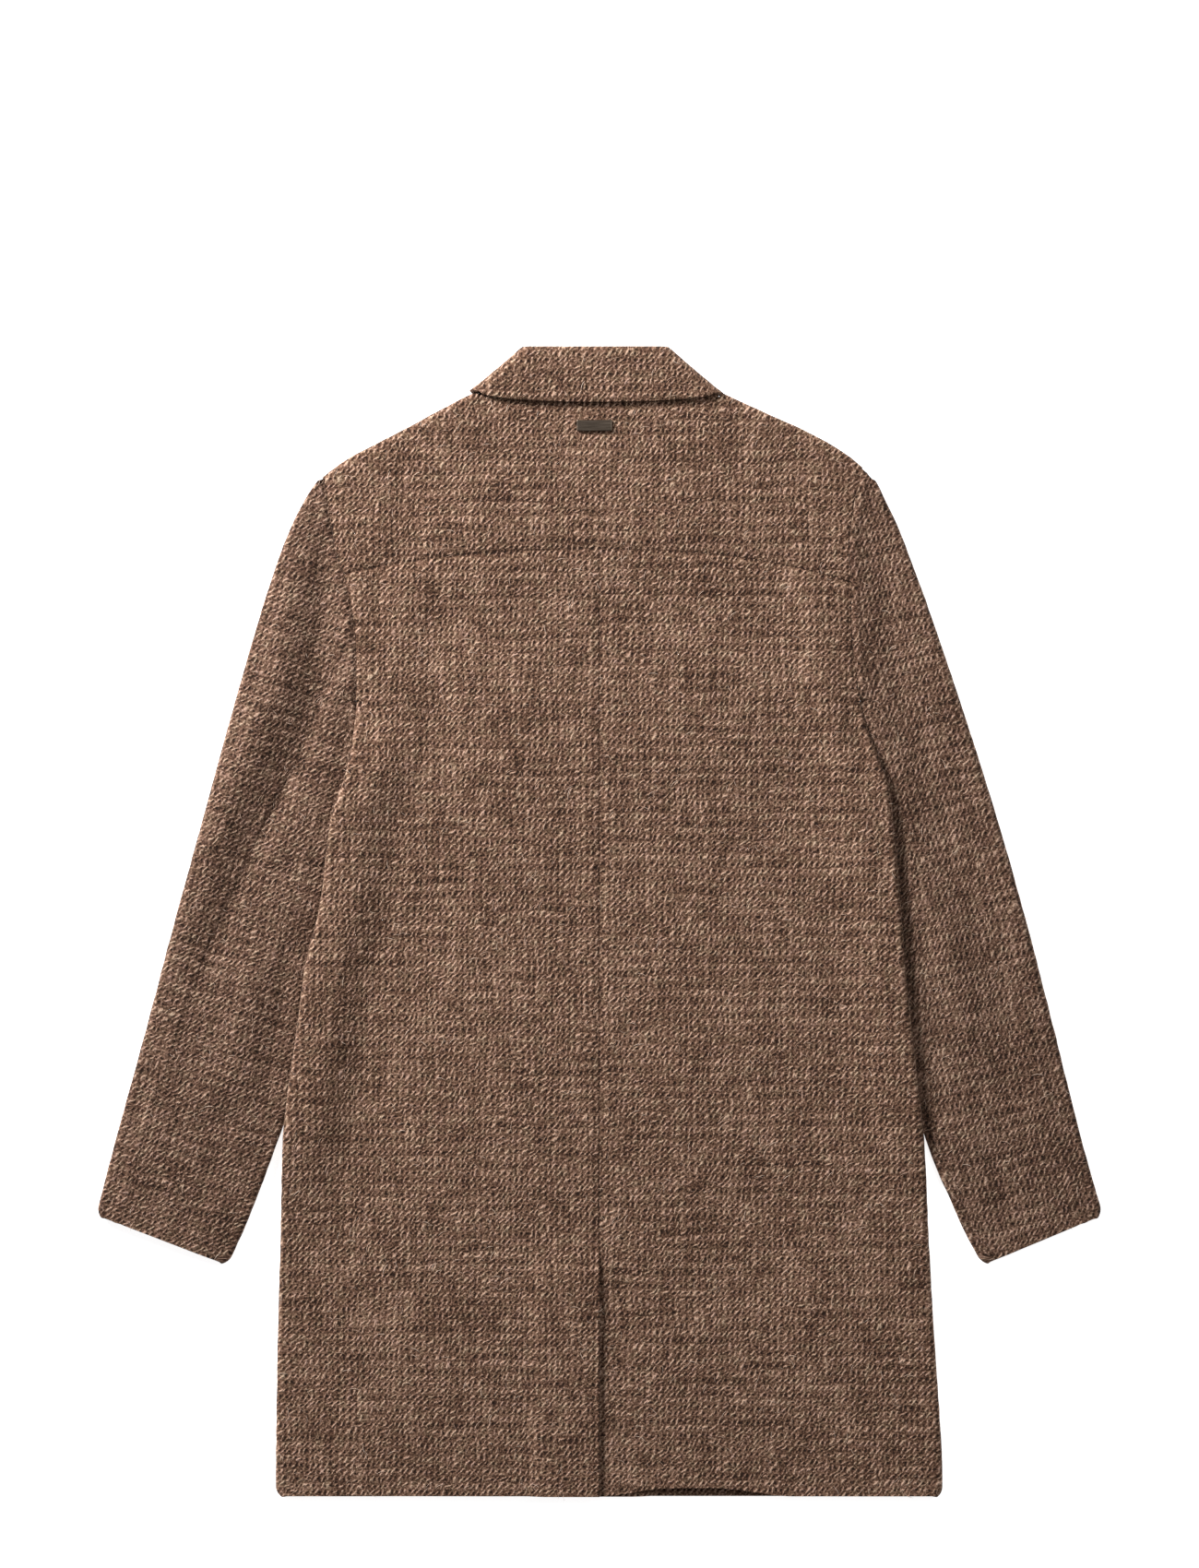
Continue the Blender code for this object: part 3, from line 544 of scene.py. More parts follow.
def roll(edge, outward, high, low, steps=ROLL_STEPS):
    """Points round a fold, from the upper ply down to the lower one."""
    radius = (high - low) / 2
    waver = EDGE_WAVER[0] * noise.noise(Vector((edge.x, edge.y, 0.0)) / EDGE_WAVER[1])
    points = []
    for k in range(steps + 1):
        angle = math.pi * k / steps
        reach = radius * (math.sin(angle) - 1.0) + waver * math.sin(angle)
        place = edge + outward * (reach - WALL / 2)
        points.append(Vector((place.x, place.y, (high + low) / 2 + radius * math.cos(angle))))
    return points


def grain(row, turn, anchor, way, offset):
    """Grain of a row's points: across by the cloth's length, along by place."""
    turned = Matrix.Rotation(-turn, 2)
    flat = [turned @ Vector((p.x, p.y)) if p is not None else None for p in row]
    first = next(k for k in range(anchor, len(row)) if row[k] is not None)
    across = {first: flat[first].x}
    for step in (1, -1):
        k = first
        while 0 <= k + step < len(row) and row[k + step] is not None:
            moved = math.hypot(flat[k + step].x - flat[k].x, row[k + step].z - row[k].z)
            across[k + step] = across[k] + way * step * moved
            k += step
    return [(across[k] + offset[0], flat[k].y + offset[1]) if k in across else None
            for k in range(len(row))]


print(len(spread(0.0, 100.0, 10)), "points across 100 mm in 10 steps")

# %% Record of the pieces, and the painted shade of their seams
Piece = namedtuple("Piece", "obj width length area")
pieces = {}


def mark_seam_shade(bm, groove, hemmed):
    """Marks how near each point lies to a seamed edge, for the painted shade in the seams; hemmed
    edges don't count.
    """
    edges = [v for v in bm.verts if v.is_boundary and v not in hemmed]
    tree = KDTree(len(edges))
    for k, vert in enumerate(edges):
        tree.insert(vert.co, k)
    tree.balance()
    for vert in bm.verts:
        vert[groove] = bell(tree.find(vert.co)[2] / MM, SEAM_SHADE_WIDTH)


print("a piece keeps its", ", ".join(Piece._fields))

# %% One cloth from its rows
def cloth(name, rows, grains, hem_rows=(), flat_columns=()):
    """Wall of cloth through rows of points; None leaves that place open.

    Edges at the hem's rows and the flat columns get no painted seam shade.
    """
    bm = bmesh.new()
    uv = bm.loops.layers.uv.new("grain")
    groove = bm.verts.layers.float.new("groove")
    cut = {}
    grid = []
    for row, marks in zip(rows, grains):
        line = []
        for point, mark in zip(row, marks):
            vert = None
            if point is not None and mark is not None:
                vert = bm.verts.new(point * MM)
                cut[vert] = mark
            line.append(vert)
        grid.append(line)
    for lower, upper in zip(grid, grid[1:]):
        for k in range(len(lower) - 1):
            quad = (lower[k], lower[k + 1], upper[k + 1], upper[k])
            if None not in quad:
                face = bm.faces.new(quad)
                for loop in face.loops:
                    loop[uv].uv = cut[loop.vert]
    area = sum(face.calc_area() for face in bm.faces)
    used = [mark for vert, mark in cut.items() if vert.link_faces]
    width = (max(u for u, v in used) - min(u for u, v in used)) * MM
    length = (max(v for u, v in used) - min(v for u, v in used)) * MM
    bmesh.ops.delete(bm, geom=[v for v in bm.verts if not v.link_faces], context="VERTS")
    bmesh.ops.recalc_face_normals(bm, faces=bm.faces)
    shown = {vert for k in hem_rows for vert in grid[k]}
    shown |= {line[k] for line in grid for k in flat_columns}
    mark_seam_shade(bm, groove, shown)
    mesh = bpy.data.meshes.new(name)
    bm.to_mesh(mesh)
    bm.free()
    mesh.shade_smooth()
    obj = bpy.data.objects.new(name, mesh)
    bpy.context.scene.collection.objects.link(obj)
    wall = obj.modifiers.new("wall", "SOLIDIFY")
    wall.thickness = WALL * MM
    wall.offset = 0.0
    rounded = obj.modifiers.new("rounded edges", "BEVEL")
    rounded.width = EDGE_ROUND * MM
    rounded.segments = 2
    rounded.limit_method = "ANGLE"
    rounded.angle_limit = math.radians(60.0)
    pieces[name] = Piece(obj, width, length, min(area, width * length))
    print(name, "has", len(mesh.polygons), "faces and is cut from",
          round(width, 3), "x", round(length, 3), "m")
    return obj


# %% [markdown]
# ## Back panels
# A row runs from the centre seam over the back, round the side's rolled
# fold, and ends at the side seam beneath. The left back covers the vent, and
# the right back is cut in one with the vent's underlap.

# %% Rows of the back
BACK_STEP = 4.5
BACK_COLUMNS = 56
ROW_APART = 0.6          # first row above the underarm


def hem_rise(x):
    """The right back's hem is drawn up a little beside the vent."""
    return HEM_RISE * smooth_step(x, *HEM_RISE_STARTS) * (1.0 - smooth_step(x, *HEM_RISE_ENDS))


def side_heights(side):
    last = YOKE_END_Y[side] - SEAM_GAP
    corner = [HEM_Y, HEM_Y + 0.7, HEM_Y + 1.6, HEM_Y + 2.9, HEM_Y + 4.6, HEM_Y + 6.6]
    middle = dense([HEM_Y + CORNER, UNDERARM_Y, UNDERARM_Y + ROW_APART,
                    last - EDGE_STEPS[-1]], BACK_STEP)
    return corner + middle + [last - step for step in reversed(EDGE_STEPS[:-1])]


def back_row(side, y, heights, top_level):
    """One row of a back panel, from the centre seam round the side edge."""
    way = sign(side)
    inset = corner_inset(y - HEM_Y)
    edge = Vector((body_edge(side, y) - way * inset, y))
    low = body_low(edge.x, y)
    high = top_level(edge.x - way * CORNER, y)
    closed = y <= UNDERARM_Y
    last = edge.x - way * ((high - low) / 2 + WALL / 2 if closed else SEAM_GAP / 2)
    share = (y - HEM_Y) / (heights[-1] - HEM_Y)
    row = []
    for x in spread(way * SEAM_GAP / 2, last, BACK_COLUMNS):
        settled = smooth_step(abs(x - last), 0.0, 10.0)
        ply_y = mix(y, mix(HEM_Y, yoke_seam_y(x) - SEAM_GAP, share), settled)
        if side == "right":
            ply_y += hem_rise(x) * (1.0 - smooth_step(y, HEM_Y, HEM_Y + HEM_RISE_HEIGHT))
        row.append(Vector((x, ply_y, top_level(x, ply_y))))
    if not closed:
        return row + [None] * (ROLL_STEPS + 4)
    turn = roll(edge, Vector((way, 0.0)), row[-1].z, low)
    row += turn[1:]
    for reach in (0.25, 0.5, 0.75, 1.0):
        x = mix(turn[-1].x, edge.x - way * WRAP, reach)
        row.append(Vector((x, y, body_low(x, y))))
    return row


print("rows of the back are", BACK_STEP, "mm apart")

# %% Both back panels
def make_left_back():
    heights = side_heights("left")
    rows = [back_row("left", y, heights, left_back_top) for y in heights]
    grains = [grain(row, 0.0, 0, -1.0, (0.0, 2.3)) for row in rows]
    return cloth("back_left_cloth", rows, grains, (0,))


def make_right_back():
    """Right back, cut in one with the underlap of the vent."""
    heights = side_heights("right")
    rows = []
    for y in heights:
        row = back_row("right", y, heights, body_top)
        under = [None] * 7
        if y <= UNDERLAP_TOP_Y:
            under = [Vector((-UNDERLAP * k / 7, row[0].y, body_top(0.0, y)))
                     for k in range(7, 0, -1)]
        rows.append(under + row)
    grains = [grain(row, 0.0, 7, 1.0, (1.9, 0.0)) for row in rows]
    return cloth("back_right_cloth", rows, grains, (0,))


make_left_back()
make_right_back()
print("flat widths:", [round(pieces[name].width, 3) for name in (
    "back_left_cloth", "back_right_cloth")], "m")

# %% [markdown]
# ## Fronts
# Both fronts lie hidden beneath the back. The right one laps over the left.

# %% Edges of the fronts
FRONT_STEP = 12.0
FRONT_COLUMNS = 18
FRONT_HEM_Y = HEM_Y - 1.2


def front_side_x(side, y):
    """Side edge of a front: the side seam, and the armhole above it."""
    way = sign(side)
    if y <= UNDERARM_Y + CURVED_GAP:
        return body_edge(side, y) - way * (corner_inset(y - HEM_Y) + WRAP + CURVED_GAP)
    return body_edge(side, y) - way * SEAM_GAP / 2


def shoulder_outward(side, x):
    """Direction across the shoulder's fold, away from the coat."""
    ahead = along(SHOULDERS[side], "x", "y", x + SLOPE_STEP)
    behind = along(SHOULDERS[side], "x", "y", x - SLOPE_STEP)
    return Vector((behind - ahead, 2.0 * SLOPE_STEP)).normalized()


def front_top_y(side, x):
    """Shoulder seam, then the neckline down to the front edge."""
    seam_x = sign(side) * max(abs(x), SHOULDER_END_X)
    drop = (WRAP + SHOULDER_GAP) / shoulder_outward(side, seam_x).y
    seam_y = along(SHOULDERS[side], "x", "y", seam_x) - drop
    return mix(FRONT_NECK_Y, seam_y, smooth_step(abs(x), 0.0, SHOULDER_END_X))


print("the left front's side edge at the hem is at x",
      round(front_side_x("left", HEM_Y), 1), "mm")

# %% Both fronts
def make_front(side):
    """Front panel from its side edge to the edge that passes the centre."""
    way = sign(side)
    level = body_low if side == "left" else right_front_low
    top_y = TIP_Y[side] - WRAP - SHOULDER_GAP
    corner = [FRONT_HEM_Y, HEM_Y + 1.4, HEM_Y + 4.6]
    heights = corner + dense([HEM_Y + CORNER, UNDERARM_Y + CURVED_GAP, top_y], FRONT_STEP)
    breaks = [-LAP * way, 0.0, LAP * way, (LAP + LAP_RUN / 2) * way, (LAP + LAP_RUN) * way]
    rows = []
    for y in heights:
        side_x = front_side_x(side, y)
        share = (y - HEM_Y) / (top_y - HEM_Y)
        stops = breaks + [mix(breaks[-1], side_x, k / FRONT_COLUMNS)
                          for k in range(1, FRONT_COLUMNS + 1)]
        row = []
        for x in stops:
            reach = (x - breaks[0]) / (side_x - breaks[0])
            top_x = mix(breaks[0], front_side_x(side, top_y), reach)
            ply_y = y + (front_top_y(side, top_x) - top_y) * share**FRONT_TOP_POWER
            row.append(Vector((x, ply_y, level(x, ply_y))))
        row[-1].y = y
        rows.append(row)
    grains = [grain(row, 0.0, 0, way, (3.0, 1.0)) for row in rows]
    return cloth("front_" + side + "_cloth", rows, grains, (0,))


make_front("left")
make_front("right")
print("flat widths:", [round(pieces[name].width, 3) for name in (
    "front_left_cloth", "front_right_cloth")], "m")

# %% [markdown]
# ## Yoke
# Its columns run up from the yoke seam and wrap over both shoulder folds.

# %% Top edge of the yoke
YOKE_COLUMNS = 50
YOKE_ROWS = 26


def yoke_top_y(x):
    side = "left" if x < 0 else "right"
    if abs(x) >= SHOULDER_END_X:
        return along(SHOULDERS[side], "x", "y", x)
    return mix(NECK_Y, NECK_CORNER_Y, smooth_step(abs(x), *NECK_X))


print("the yoke's top edge at the middle is at y", yoke_top_y(0.0), "mm")

# %% Yoke over both shoulders
def make_yoke():
    half = [k / YOKE_COLUMNS for k in range(YOKE_COLUMNS)] + [0.993, 0.997, 1.0]
    steps = [step / 110.0 for step in EDGE_STEPS[:-1]]
    steps += [mix(EDGE_STEPS[-1] / 110.0, 1.0, k / YOKE_ROWS) for k in range(YOKE_ROWS + 1)]
    columns, grains = [], []
    for share in [-t for t in reversed(half[1:])] + half:
        side = "left" if share < 0 else "right"
        reach = abs(share)
        tip_x = abs(body_edge(side, TIP_Y[side]))
        on_shoulder = reach > YOKE_NECK_SHARE
        if on_shoulder:
            past_neck = (reach - YOKE_NECK_SHARE) / (1.0 - YOKE_NECK_SHARE)
            top_x = mix(SHOULDER_END_X, tip_x, past_neck)
        else:
            top_x = SHOULDER_END_X * reach / YOKE_NECK_SHARE
        top = Vector((top_x * sign(side), yoke_top_y(top_x * sign(side))))
        outward = shoulder_outward(side, top.x)
        low = body_low(top.x, top.y)
        pull = ((body_top(top.x, top.y) - low) / 2 + WALL / 2) * on_shoulder
        column = []
        for t in steps:
            side_y = mix(YOKE_END_Y[side], TIP_Y[side], t)
            side_x = abs(body_edge(side, side_y)) - SEAM_GAP / 2
            x = sign(side) * side_x * mix(reach, top_x / tip_x, t)
            seam_y = yoke_seam_y(sign(side) * abs(body_edge(side, YOKE_END_Y[side])) * reach)
            y = mix(seam_y + SEAM_GAP / 2, top.y, t)
            x, y = Vector((x, y)) - outward * pull * t * t
            column.append(Vector((x, y, body_top(x, y))))
        if on_shoulder:
            edge = Vector((sign(side) * (tip_x - SEAM_GAP / 2) * top_x / tip_x, top.y))
            turn = roll(edge, outward, column[-1].z, low)
            column += turn[1:]
            end = edge - outward * WRAP
            column.append(Vector((end.x, end.y, body_low(end.x, end.y))))
        else:
            column += [None] * (ROLL_STEPS + 1)
        marks = grain(column, math.pi / 2, 0, 1.0, (0.0, 0.0))
        marks = [(-v, u + 1.4) if v is not None else None
                 for u, v in (mark or (None, None) for mark in marks)]
        columns.append(column)
        grains.append(marks)
    return cloth("yoke_cloth", columns, grains)


make_yoke()
print("flat width:", round(pieces["yoke_cloth"].width, 3), "m")

# %% [markdown]
# ## Sleeves
# The top sleeve wraps round both folds. The under sleeve lies between the
# hindarm seam and the forearm seam. The grain turns with the sleeve.

# %% Stations along a sleeve
SLEEVE_STEP = 4.5
SLEEVE_UPPER = 32
OUTER_REACH = 7.0        # the outer fold is as high as the cloth this far inside it
SLEEVE_LOWER = 12
UNDER_COLUMNS = 22
HIND_RIDGE = (0.7, 3.5, 3.0)
UNDER_LEAST = 0.8        # the under sleeve starts at this width
APEX = 0.4               # and its tip is this wide
STRIP_LEAST = 3.0        # least of the top sleeve's strip that shows at the inner fold
SLEEVE_BLEND = 26.0      # its inner side sinks over this height to the fold


def stations(side):
    """Dense sleeve rows: outer and inner height, seam place and cuff inset."""
    rows = []
    span = YOKE_END_Y[side], TIP_Y[side]
    left_span = YOKE_END_Y["left"], TIP_Y["left"]
    for station in STATIONS:
        inner_y = station.inner_y
        if inner_y >= left_span[0]:
            share = (inner_y - left_span[0]) / (left_span[1] - left_span[0])
            inner_y = mix(span[0], span[1], share)
        rows.append(Station(station.outer_y, inner_y, station.hind))
    outer = dense([row.outer_y for row in rows], SLEEVE_STEP)
    cuff = outer[-1]
    while outer[-1] < cuff + CORNER:
        outer.pop()
    outer += [cuff + step for step in (8.5, 6.5, 4.6, 2.9, 1.6, 0.7, 0.0)]
    return [(y, along(rows, "outer_y", "inner_y", y), along(rows, "outer_y", "hind", y),
             corner_inset(y - cuff)) for y in outer]


print("the left sleeve has", len(stations("left")), "rows")

# %% Tuck, ends and parting
def sleeve_tuck(side, y):
    """How far the sleeve's inner fold slips under the raised body edge."""
    sleeve_radius = (SLEEVE_TUCKED - LOW) / 2 + WALL / 2
    body_radius = (TOP - LOW) / 2 + WALL / 2
    reach = sleeve_radius + body_radius + 2 * SEAM_GAP
    apart = body_lift(side, y) + body_radius - sleeve_radius
    side_by_side = math.sqrt(max(reach**2 - apart**2, 0.0))
    return min(max(sleeve_radius + body_radius - side_by_side, TUCK_LEAST), TUCK_MOST)


def sleeve_ends(side, outer_y, inner_y, inset):
    """Plan points of a row's inner and outer end."""
    way = sign(side)
    outer = Vector((along(SLEEVE_OUTER, "y", side, outer_y), outer_y))
    under_body = body_edge(side, inner_y) + way * (SEAM_GAP / 2 - ARMHOLE_LAP)
    if inner_y <= UNDERARM_Y:
        under_body += way * (CURVED_GAP - sleeve_tuck(side, inner_y))
    if inner_y <= FREE_Y:
        free = along(SLEEVE_INNER, "y", side, inner_y)
        under_body = way * max(under_body * way, free * way)
    inner = Vector((under_body, inner_y))
    across = (outer - inner).normalized()
    return inner + across * inset, outer - across * inset, across


def parting(side, y):
    """How far the upper side of the inner fold draws back from the body."""
    opened = smooth_step(-y, -PARTING_STARTS[0], -PARTING_STARTS[1])
    return PARTING[side] * opened * (1.0 - smooth_step(-y, -PARTING_ENDS[0], -PARTING_ENDS[1]))


print("the left sleeve's tuck at y 0 is", round(sleeve_tuck("left", 0.0), 1), "mm")

# %% Both sleeves
hind_seams = {"left": [], "right": []}


def make_sleeve(side):
    """Top sleeve, wrapped round both folds, and the under sleeve patch."""
    top_rows, under_rows, apex = [], [], []
    for outer_y, inner_y, hind, inset in stations(side):
        inner, outer, across = sleeve_ends(side, outer_y, inner_y, inset)
        length = (outer - inner).length
        closed = inner_y <= UNDERARM_Y
        sunk = smooth_step(-inner_y, -UNDERARM_Y - SLEEVE_BLEND, -UNDERARM_Y)
        strip = mix(UNDERARM_STRIP, FOREARM_STRIP, smooth_step(-inner_y, -UNDERARM_Y, 0.0))
        seam = hind * length
        drawn = parting(side, inner_y)

        def upper(reach):
            place = inner + across * reach
            z = sleeve_top(place.x, place.y, mix(1.0, reach / length, sunk))
            if hind > 0.0:
                z += HIND_RIDGE[0] * bell(reach - seam - HIND_RIDGE[1], HIND_RIDGE[2])
            if not closed:
                z -= SEAM_DIP[0] * bell(reach, SEAM_DIP[1])
                z += CAP_RIDGE[0] * bell(reach - CAP_RIDGE[1], CAP_RIDGE[2])
            return Vector((place.x, place.y, z))

        outer_radius = (upper(length - OUTER_REACH).z - LOW) / 2 + WALL / 2
        parted = seam > UNDER_LEAST
        start = seam + SEAM_GAP / 2 if parted else SEAM_GAP
        last = length - outer_radius
        row = [upper(reach) for reach in spread(start, last, SLEEVE_UPPER)]
        row += roll(outer, across, row[-1].z, LOW)[1:]
        near = (SLEEVE_TUCKED - LOW) / 2 + WALL / 2 if closed else SEAM_GAP
        for k in range(1, SLEEVE_LOWER + 1):
            place = inner + across * mix(last, near, k / SLEEVE_LOWER)
            row.append(Vector((place.x, place.y, LOW)))
        if closed:
            turn = roll(inner, -across, SLEEVE_TUCKED, LOW)[::-1]
            for k, point in enumerate(turn):
                point.xy += across * drawn * k / ROLL_STEPS
            strip = max(strip, near + drawn + STRIP_LEAST)
            row += turn[1:]
            row += [upper(mix(near + drawn, strip - SEAM_GAP / 2, t)) for t in (0.5, 1.0)]
        else:
            row += [None] * (ROLL_STEPS + 2)
        top_rows.append(row)
        if not parted:
            apex = [upper(reach) for reach in spread(0.0, APEX, UNDER_COLUMNS)]
        else:
            if not under_rows:
                under_rows.append(apex)
            hind_seams[side].append(upper(seam))
            edge = strip + SEAM_GAP / 2 if closed else SEAM_GAP
            under_rows.append([upper(reach) for reach in
                               spread(edge, seam - SEAM_GAP / 2, UNDER_COLUMNS)])
    way, turn = sign(side), SLEEVE_TURN[side]
    top_grain = [grain(row, turn, 0, way, (0.7, 1.2)) for row in top_rows]
    under_grain = [grain(row, turn, 0, way, (2.2, 3.1)) for row in under_rows]
    cloth("sleeve_" + side + "_top_cloth", top_rows, top_grain, (-1,), (0, -1))
    cloth("sleeve_" + side + "_under_cloth", under_rows, under_grain, (-1,), (0, -1))


make_sleeve("left")
make_sleeve("right")
print("flat widths:", [round(pieces[name].width, 3) for name in (
    "sleeve_left_top_cloth", "sleeve_right_top_cloth")], "m")

# %% [markdown]
# ## Collar
# The fall rolls over at the top and folds under at both sides, and its lower
# edge is a little full where the cloth turns in. The stand is under it.

# %% Sides of the collar
FALL_ROWS = 15
FALL_COLUMNS = 46
LEAF_COLUMNS = 12
FALL_FULLNESS = (0.7, 5.0, 4.0)   # height, place above the edge, half width


def fall_side(side, y, level, share):
    """Side fold of the fall at a height, and the leaf beneath it."""
    shape = COLLAR[side]
    fold = Vector(shape.rim) - Vector(shape.roll)
    normal = Vector((fold.y, -fold.x)).normalized() * -sign(side)
    slanted = smooth_step(share, 0.0, FALL_TURN) * (1.0 - smooth_step(share, 1.0 - FALL_TURN, 1.0))
    outward = Vector((sign(side), 0.0)).lerp(normal, slanted)
    edge = Vector(shape.roll) + fold * (y - shape.roll[1]) / fold.y
    turn = roll(edge, outward.normalized(), level, LOW)
    end = Vector(shape.front).lerp(Vector(shape.point), share)
    leaf = [turn[-1].lerp(Vector((end.x, end.y, LOW)), k / LEAF_COLUMNS)
            for k in range(1, LEAF_COLUMNS + 1)]
    return turn, leaf


print("the fall has", FALL_ROWS, "rows and", FALL_COLUMNS, "columns")

# %% Collar fall
def make_fall():
    roll_radius = (FALL_Z[0] - TOP - PLY) / 2
    stand_z = TOP + PLY
    middle_y = COLLAR_TOP_Y - WALL / 2 - roll_radius
    back = [(FALL_STRIP_Y, stand_z)]
    for k in range(ROLL_STEPS):
        angle = math.pi * k / ROLL_STEPS
        y = COLLAR_TOP_Y - WALL / 2 + roll_radius * (math.sin(angle) - 1.0)
        back.append((y, (FALL_Z[0] + stand_z) / 2 - roll_radius * math.cos(angle)))
    rows, grains = [], []
    centre = LEAF_COLUMNS + ROLL_STEPS + FALL_COLUMNS // 2
    for k, (y, z) in enumerate(back):
        path = back[k:] + [(middle_y, FALL_Z[0])]
        rest = sum(math.dist(a, b) for a, b in zip(path, path[1:]))
        left, right = (fall_side(side, max(y, middle_y), z, 0.0)[0] for side in COLLAR)
        outer = k > ROLL_STEPS // 2
        turns = [[p if outer else None for p in turn[1:]] for turn in (left, right)]
        middle = [Vector((mix(left[0].x, right[0].x, j / FALL_COLUMNS), y, z))
                  for j in range(FALL_COLUMNS + 1)]
        blank = [None] * LEAF_COLUMNS
        row = blank + turns[0][::-1] + middle + turns[1] + blank
        rows.append(row)
        marks = grain(row, 0.0, centre, 1.0, (0.0, 0.0))
        grains.append([(mark[0], middle_y + rest) if mark else None for mark in marks])
    for j in range(FALL_ROWS + 1):
        s = j / FALL_ROWS
        level = mix(FALL_Z[0], FALL_Z[1], s)
        left, right = (fall_side(side, mix(middle_y, COLLAR[side].rim[1], s), level, s)
                       for side in COLLAR)
        start, stop = left[0][0], right[0][0]
        top = []
        for k in range(1, FALL_COLUMNS):
            t = k / FALL_COLUMNS
            x = mix(start.x, stop.x, t)
            centre_y = mix(middle_y, COLLAR_SAG_Y, s)
            y = mix(mix(start.y, stop.y, t), centre_y, min(1.0, 4.0 * t * (1.0 - t)) ** 0.5)
            above = (1.0 - s) * (middle_y - COLLAR_SAG_Y)
            full = FALL_FULLNESS[0] * bell(above - FALL_FULLNESS[1], FALL_FULLNESS[2])
            inner = min(1.0, 8.0 * t * (1.0 - t))
            top.append(Vector((x, y, level + inner * (full + 0.5 * uneven(x, y, 5.0)))))
        row = left[1][::-1] + left[0][::-1] + top + right[0] + right[1]
        rows.append(row)
        grains.append(grain(row, 0.0, centre, 1.0, (0.0, 0.0)))
    return cloth("collar_fall_cloth", rows, grains, (-1,))


print("its roll line is", round(COLLAR["right"].roll[0] - COLLAR["left"].roll[0], 1), "mm long")

# %% Collar stand, and both in place
def make_stand():
    rows = []
    for k in range(7):
        t = k / 6
        half = mix(STAND_HALF[0], STAND_HALF[1], t)
        y = mix(NECK_Y + SEAM_GAP, FALL_STRIP_Y - SEAM_GAP, t)
        rows.append([Vector((half * j / 20, y, TOP + PLY)) for j in range(-20, 21)])
    grains = [grain(row, 0.0, 20, 1.0, (0.0, 0.0)) for row in rows]
    return cloth("collar_stand_cloth", rows, grains)


make_fall()
make_stand()
print("flat widths:", [round(pieces[name].width, 3) for name in (
    "collar_fall_cloth", "collar_stand_cloth")], "m")

# %% [markdown]
# ## Materials
# The tweed is worked out in thread cells on the grain map. Every cell holds one
# slanting float of light yarn, and the holes between the floats get painted shade.
# Whole picks and ends of the weave differ in tone, as uneven yarn makes them.
# One thread is too fine to show where a render's pixel is 1.26 mm, so a cell
# stands for a small group of threads and is drawn as coarse as it needs to show.

# %% Pitch of the weave
CELL = (4.9, 5.6)                  # pitch of the floats across and along, mm
FLOAT_SLANT = math.radians(50.0)
FLOAT_SIZE = (3.4, 0.74)           # half length and half width, mm
HOLE_SIZE = 0.95


def srgb(text):
    """Linear colour from a hex code."""
    parts = [int(text[k:k + 2], 16) / 255 for k in (0, 2, 4)]
    return [c / 12.92 if c <= 0.04045 else ((c + 0.055) / 1.055) ** 2.4 for c in parts] + [1.0]


print("a float of yarn is", 2 * FLOAT_SIZE[0], "x", 2 * FLOAT_SIZE[1], "mm")

# %% One function for every node
def fill_ramp(ramp, stops):
    while len(ramp.elements) < len(stops):
        ramp.elements.new(0.5)
    for element, (place, colour) in zip(ramp.elements, stops):
        element.position = place
        element.color = srgb(colour)


def add_node(tree, kind, settings=(), inputs=()):
    """Adds a node with its settings, and its inputs as values or links."""
    node = tree.nodes.new(kind)
    for name, value in dict(settings).items():
        if name == "stops":
            fill_ramp(node.color_ramp, value)
        else:
            setattr(node, name, value)
    for key, value in dict(enumerate(inputs) if isinstance(inputs, tuple) else inputs).items():
        if isinstance(value, bpy.types.NodeSocket):
            tree.links.new(value, node.inputs[key])
        else:
            node.inputs[key].default_value = value
    return node


def add_rows(tree, known, rows):
    """Adds a row's node and keeps its first outputs under the row's names.

    An input that is text stands for an output that has that name.
    """
    for results, kind, settings, inputs in rows:
        named = dict(enumerate(inputs) if isinstance(inputs, tuple) else inputs)
        named = {key: known[value] if isinstance(value, str) else value
                 for key, value in named.items()}
        node = add_node(tree, kind, settings, named)
        known.update(zip(results.split(), node.outputs))


def new_material(name):
    material = bpy.data.materials.new(name)
    material.use_nodes = True
    return material, material.node_tree, material.node_tree.nodes["Principled BSDF"]


print("colour 7b6151 is", [round(part, 3) for part in srgb("7b6151")[:3]], "in linear light")

# %% Where a thread lies
THREAD_DRIFTS = ((0.028, 4.5), (0.15, 2.8))  # noise scale, and how far threads stray
DRIFT_SHIFT = (431.0, 97.0, 0.0)             # so that picks stray apart from ends
FLOAT_TONE = (0.60, 0.345)                   # gain, and the ground tone of the cloth
# Painted shade: the holes between the floats are painted darker, for the shade that falls into
# them.
HOLE_SHADE_TONE = -0.40
# Painted shade: the cloth is painted darker in every seam's groove, where shade falls.
SEAM_SHADE_TONE = -0.26        # cloth is darker in the groove of a seam
WOOL_HEIGHT = 1.6
SLUB_LENGTH = 55.0
END_LENGTH = 38.0
MATHS = "ShaderNodeMath"
NOISE = "ShaderNodeTexNoise"
WHITE_NOISE = "ShaderNodeTexWhiteNoise"
JOIN = "ShaderNodeCombineXYZ"
RAMP = "ShaderNodeValToRGB"
FLAT = {"noise_dimensions": "2D"}
ADD, SUBTRACT, MULTIPLY, DIVIDE, MULTIPLY_ADD, POWER = (
    {"operation": name}
    for name in ("ADD", "SUBTRACT", "MULTIPLY", "DIVIDE", "MULTIPLY_ADD", "POWER"))
FLOOR, FRACT, ROUND, ABSOLUTE, EXPONENT, COSINE, SINE, PINGPONG = (
    {"operation": name}
    for name in ("FLOOR", "FRACT", "ROUND", "ABSOLUTE", "EXPONENT", "COSINE", "SINE",
                 "PINGPONG"))

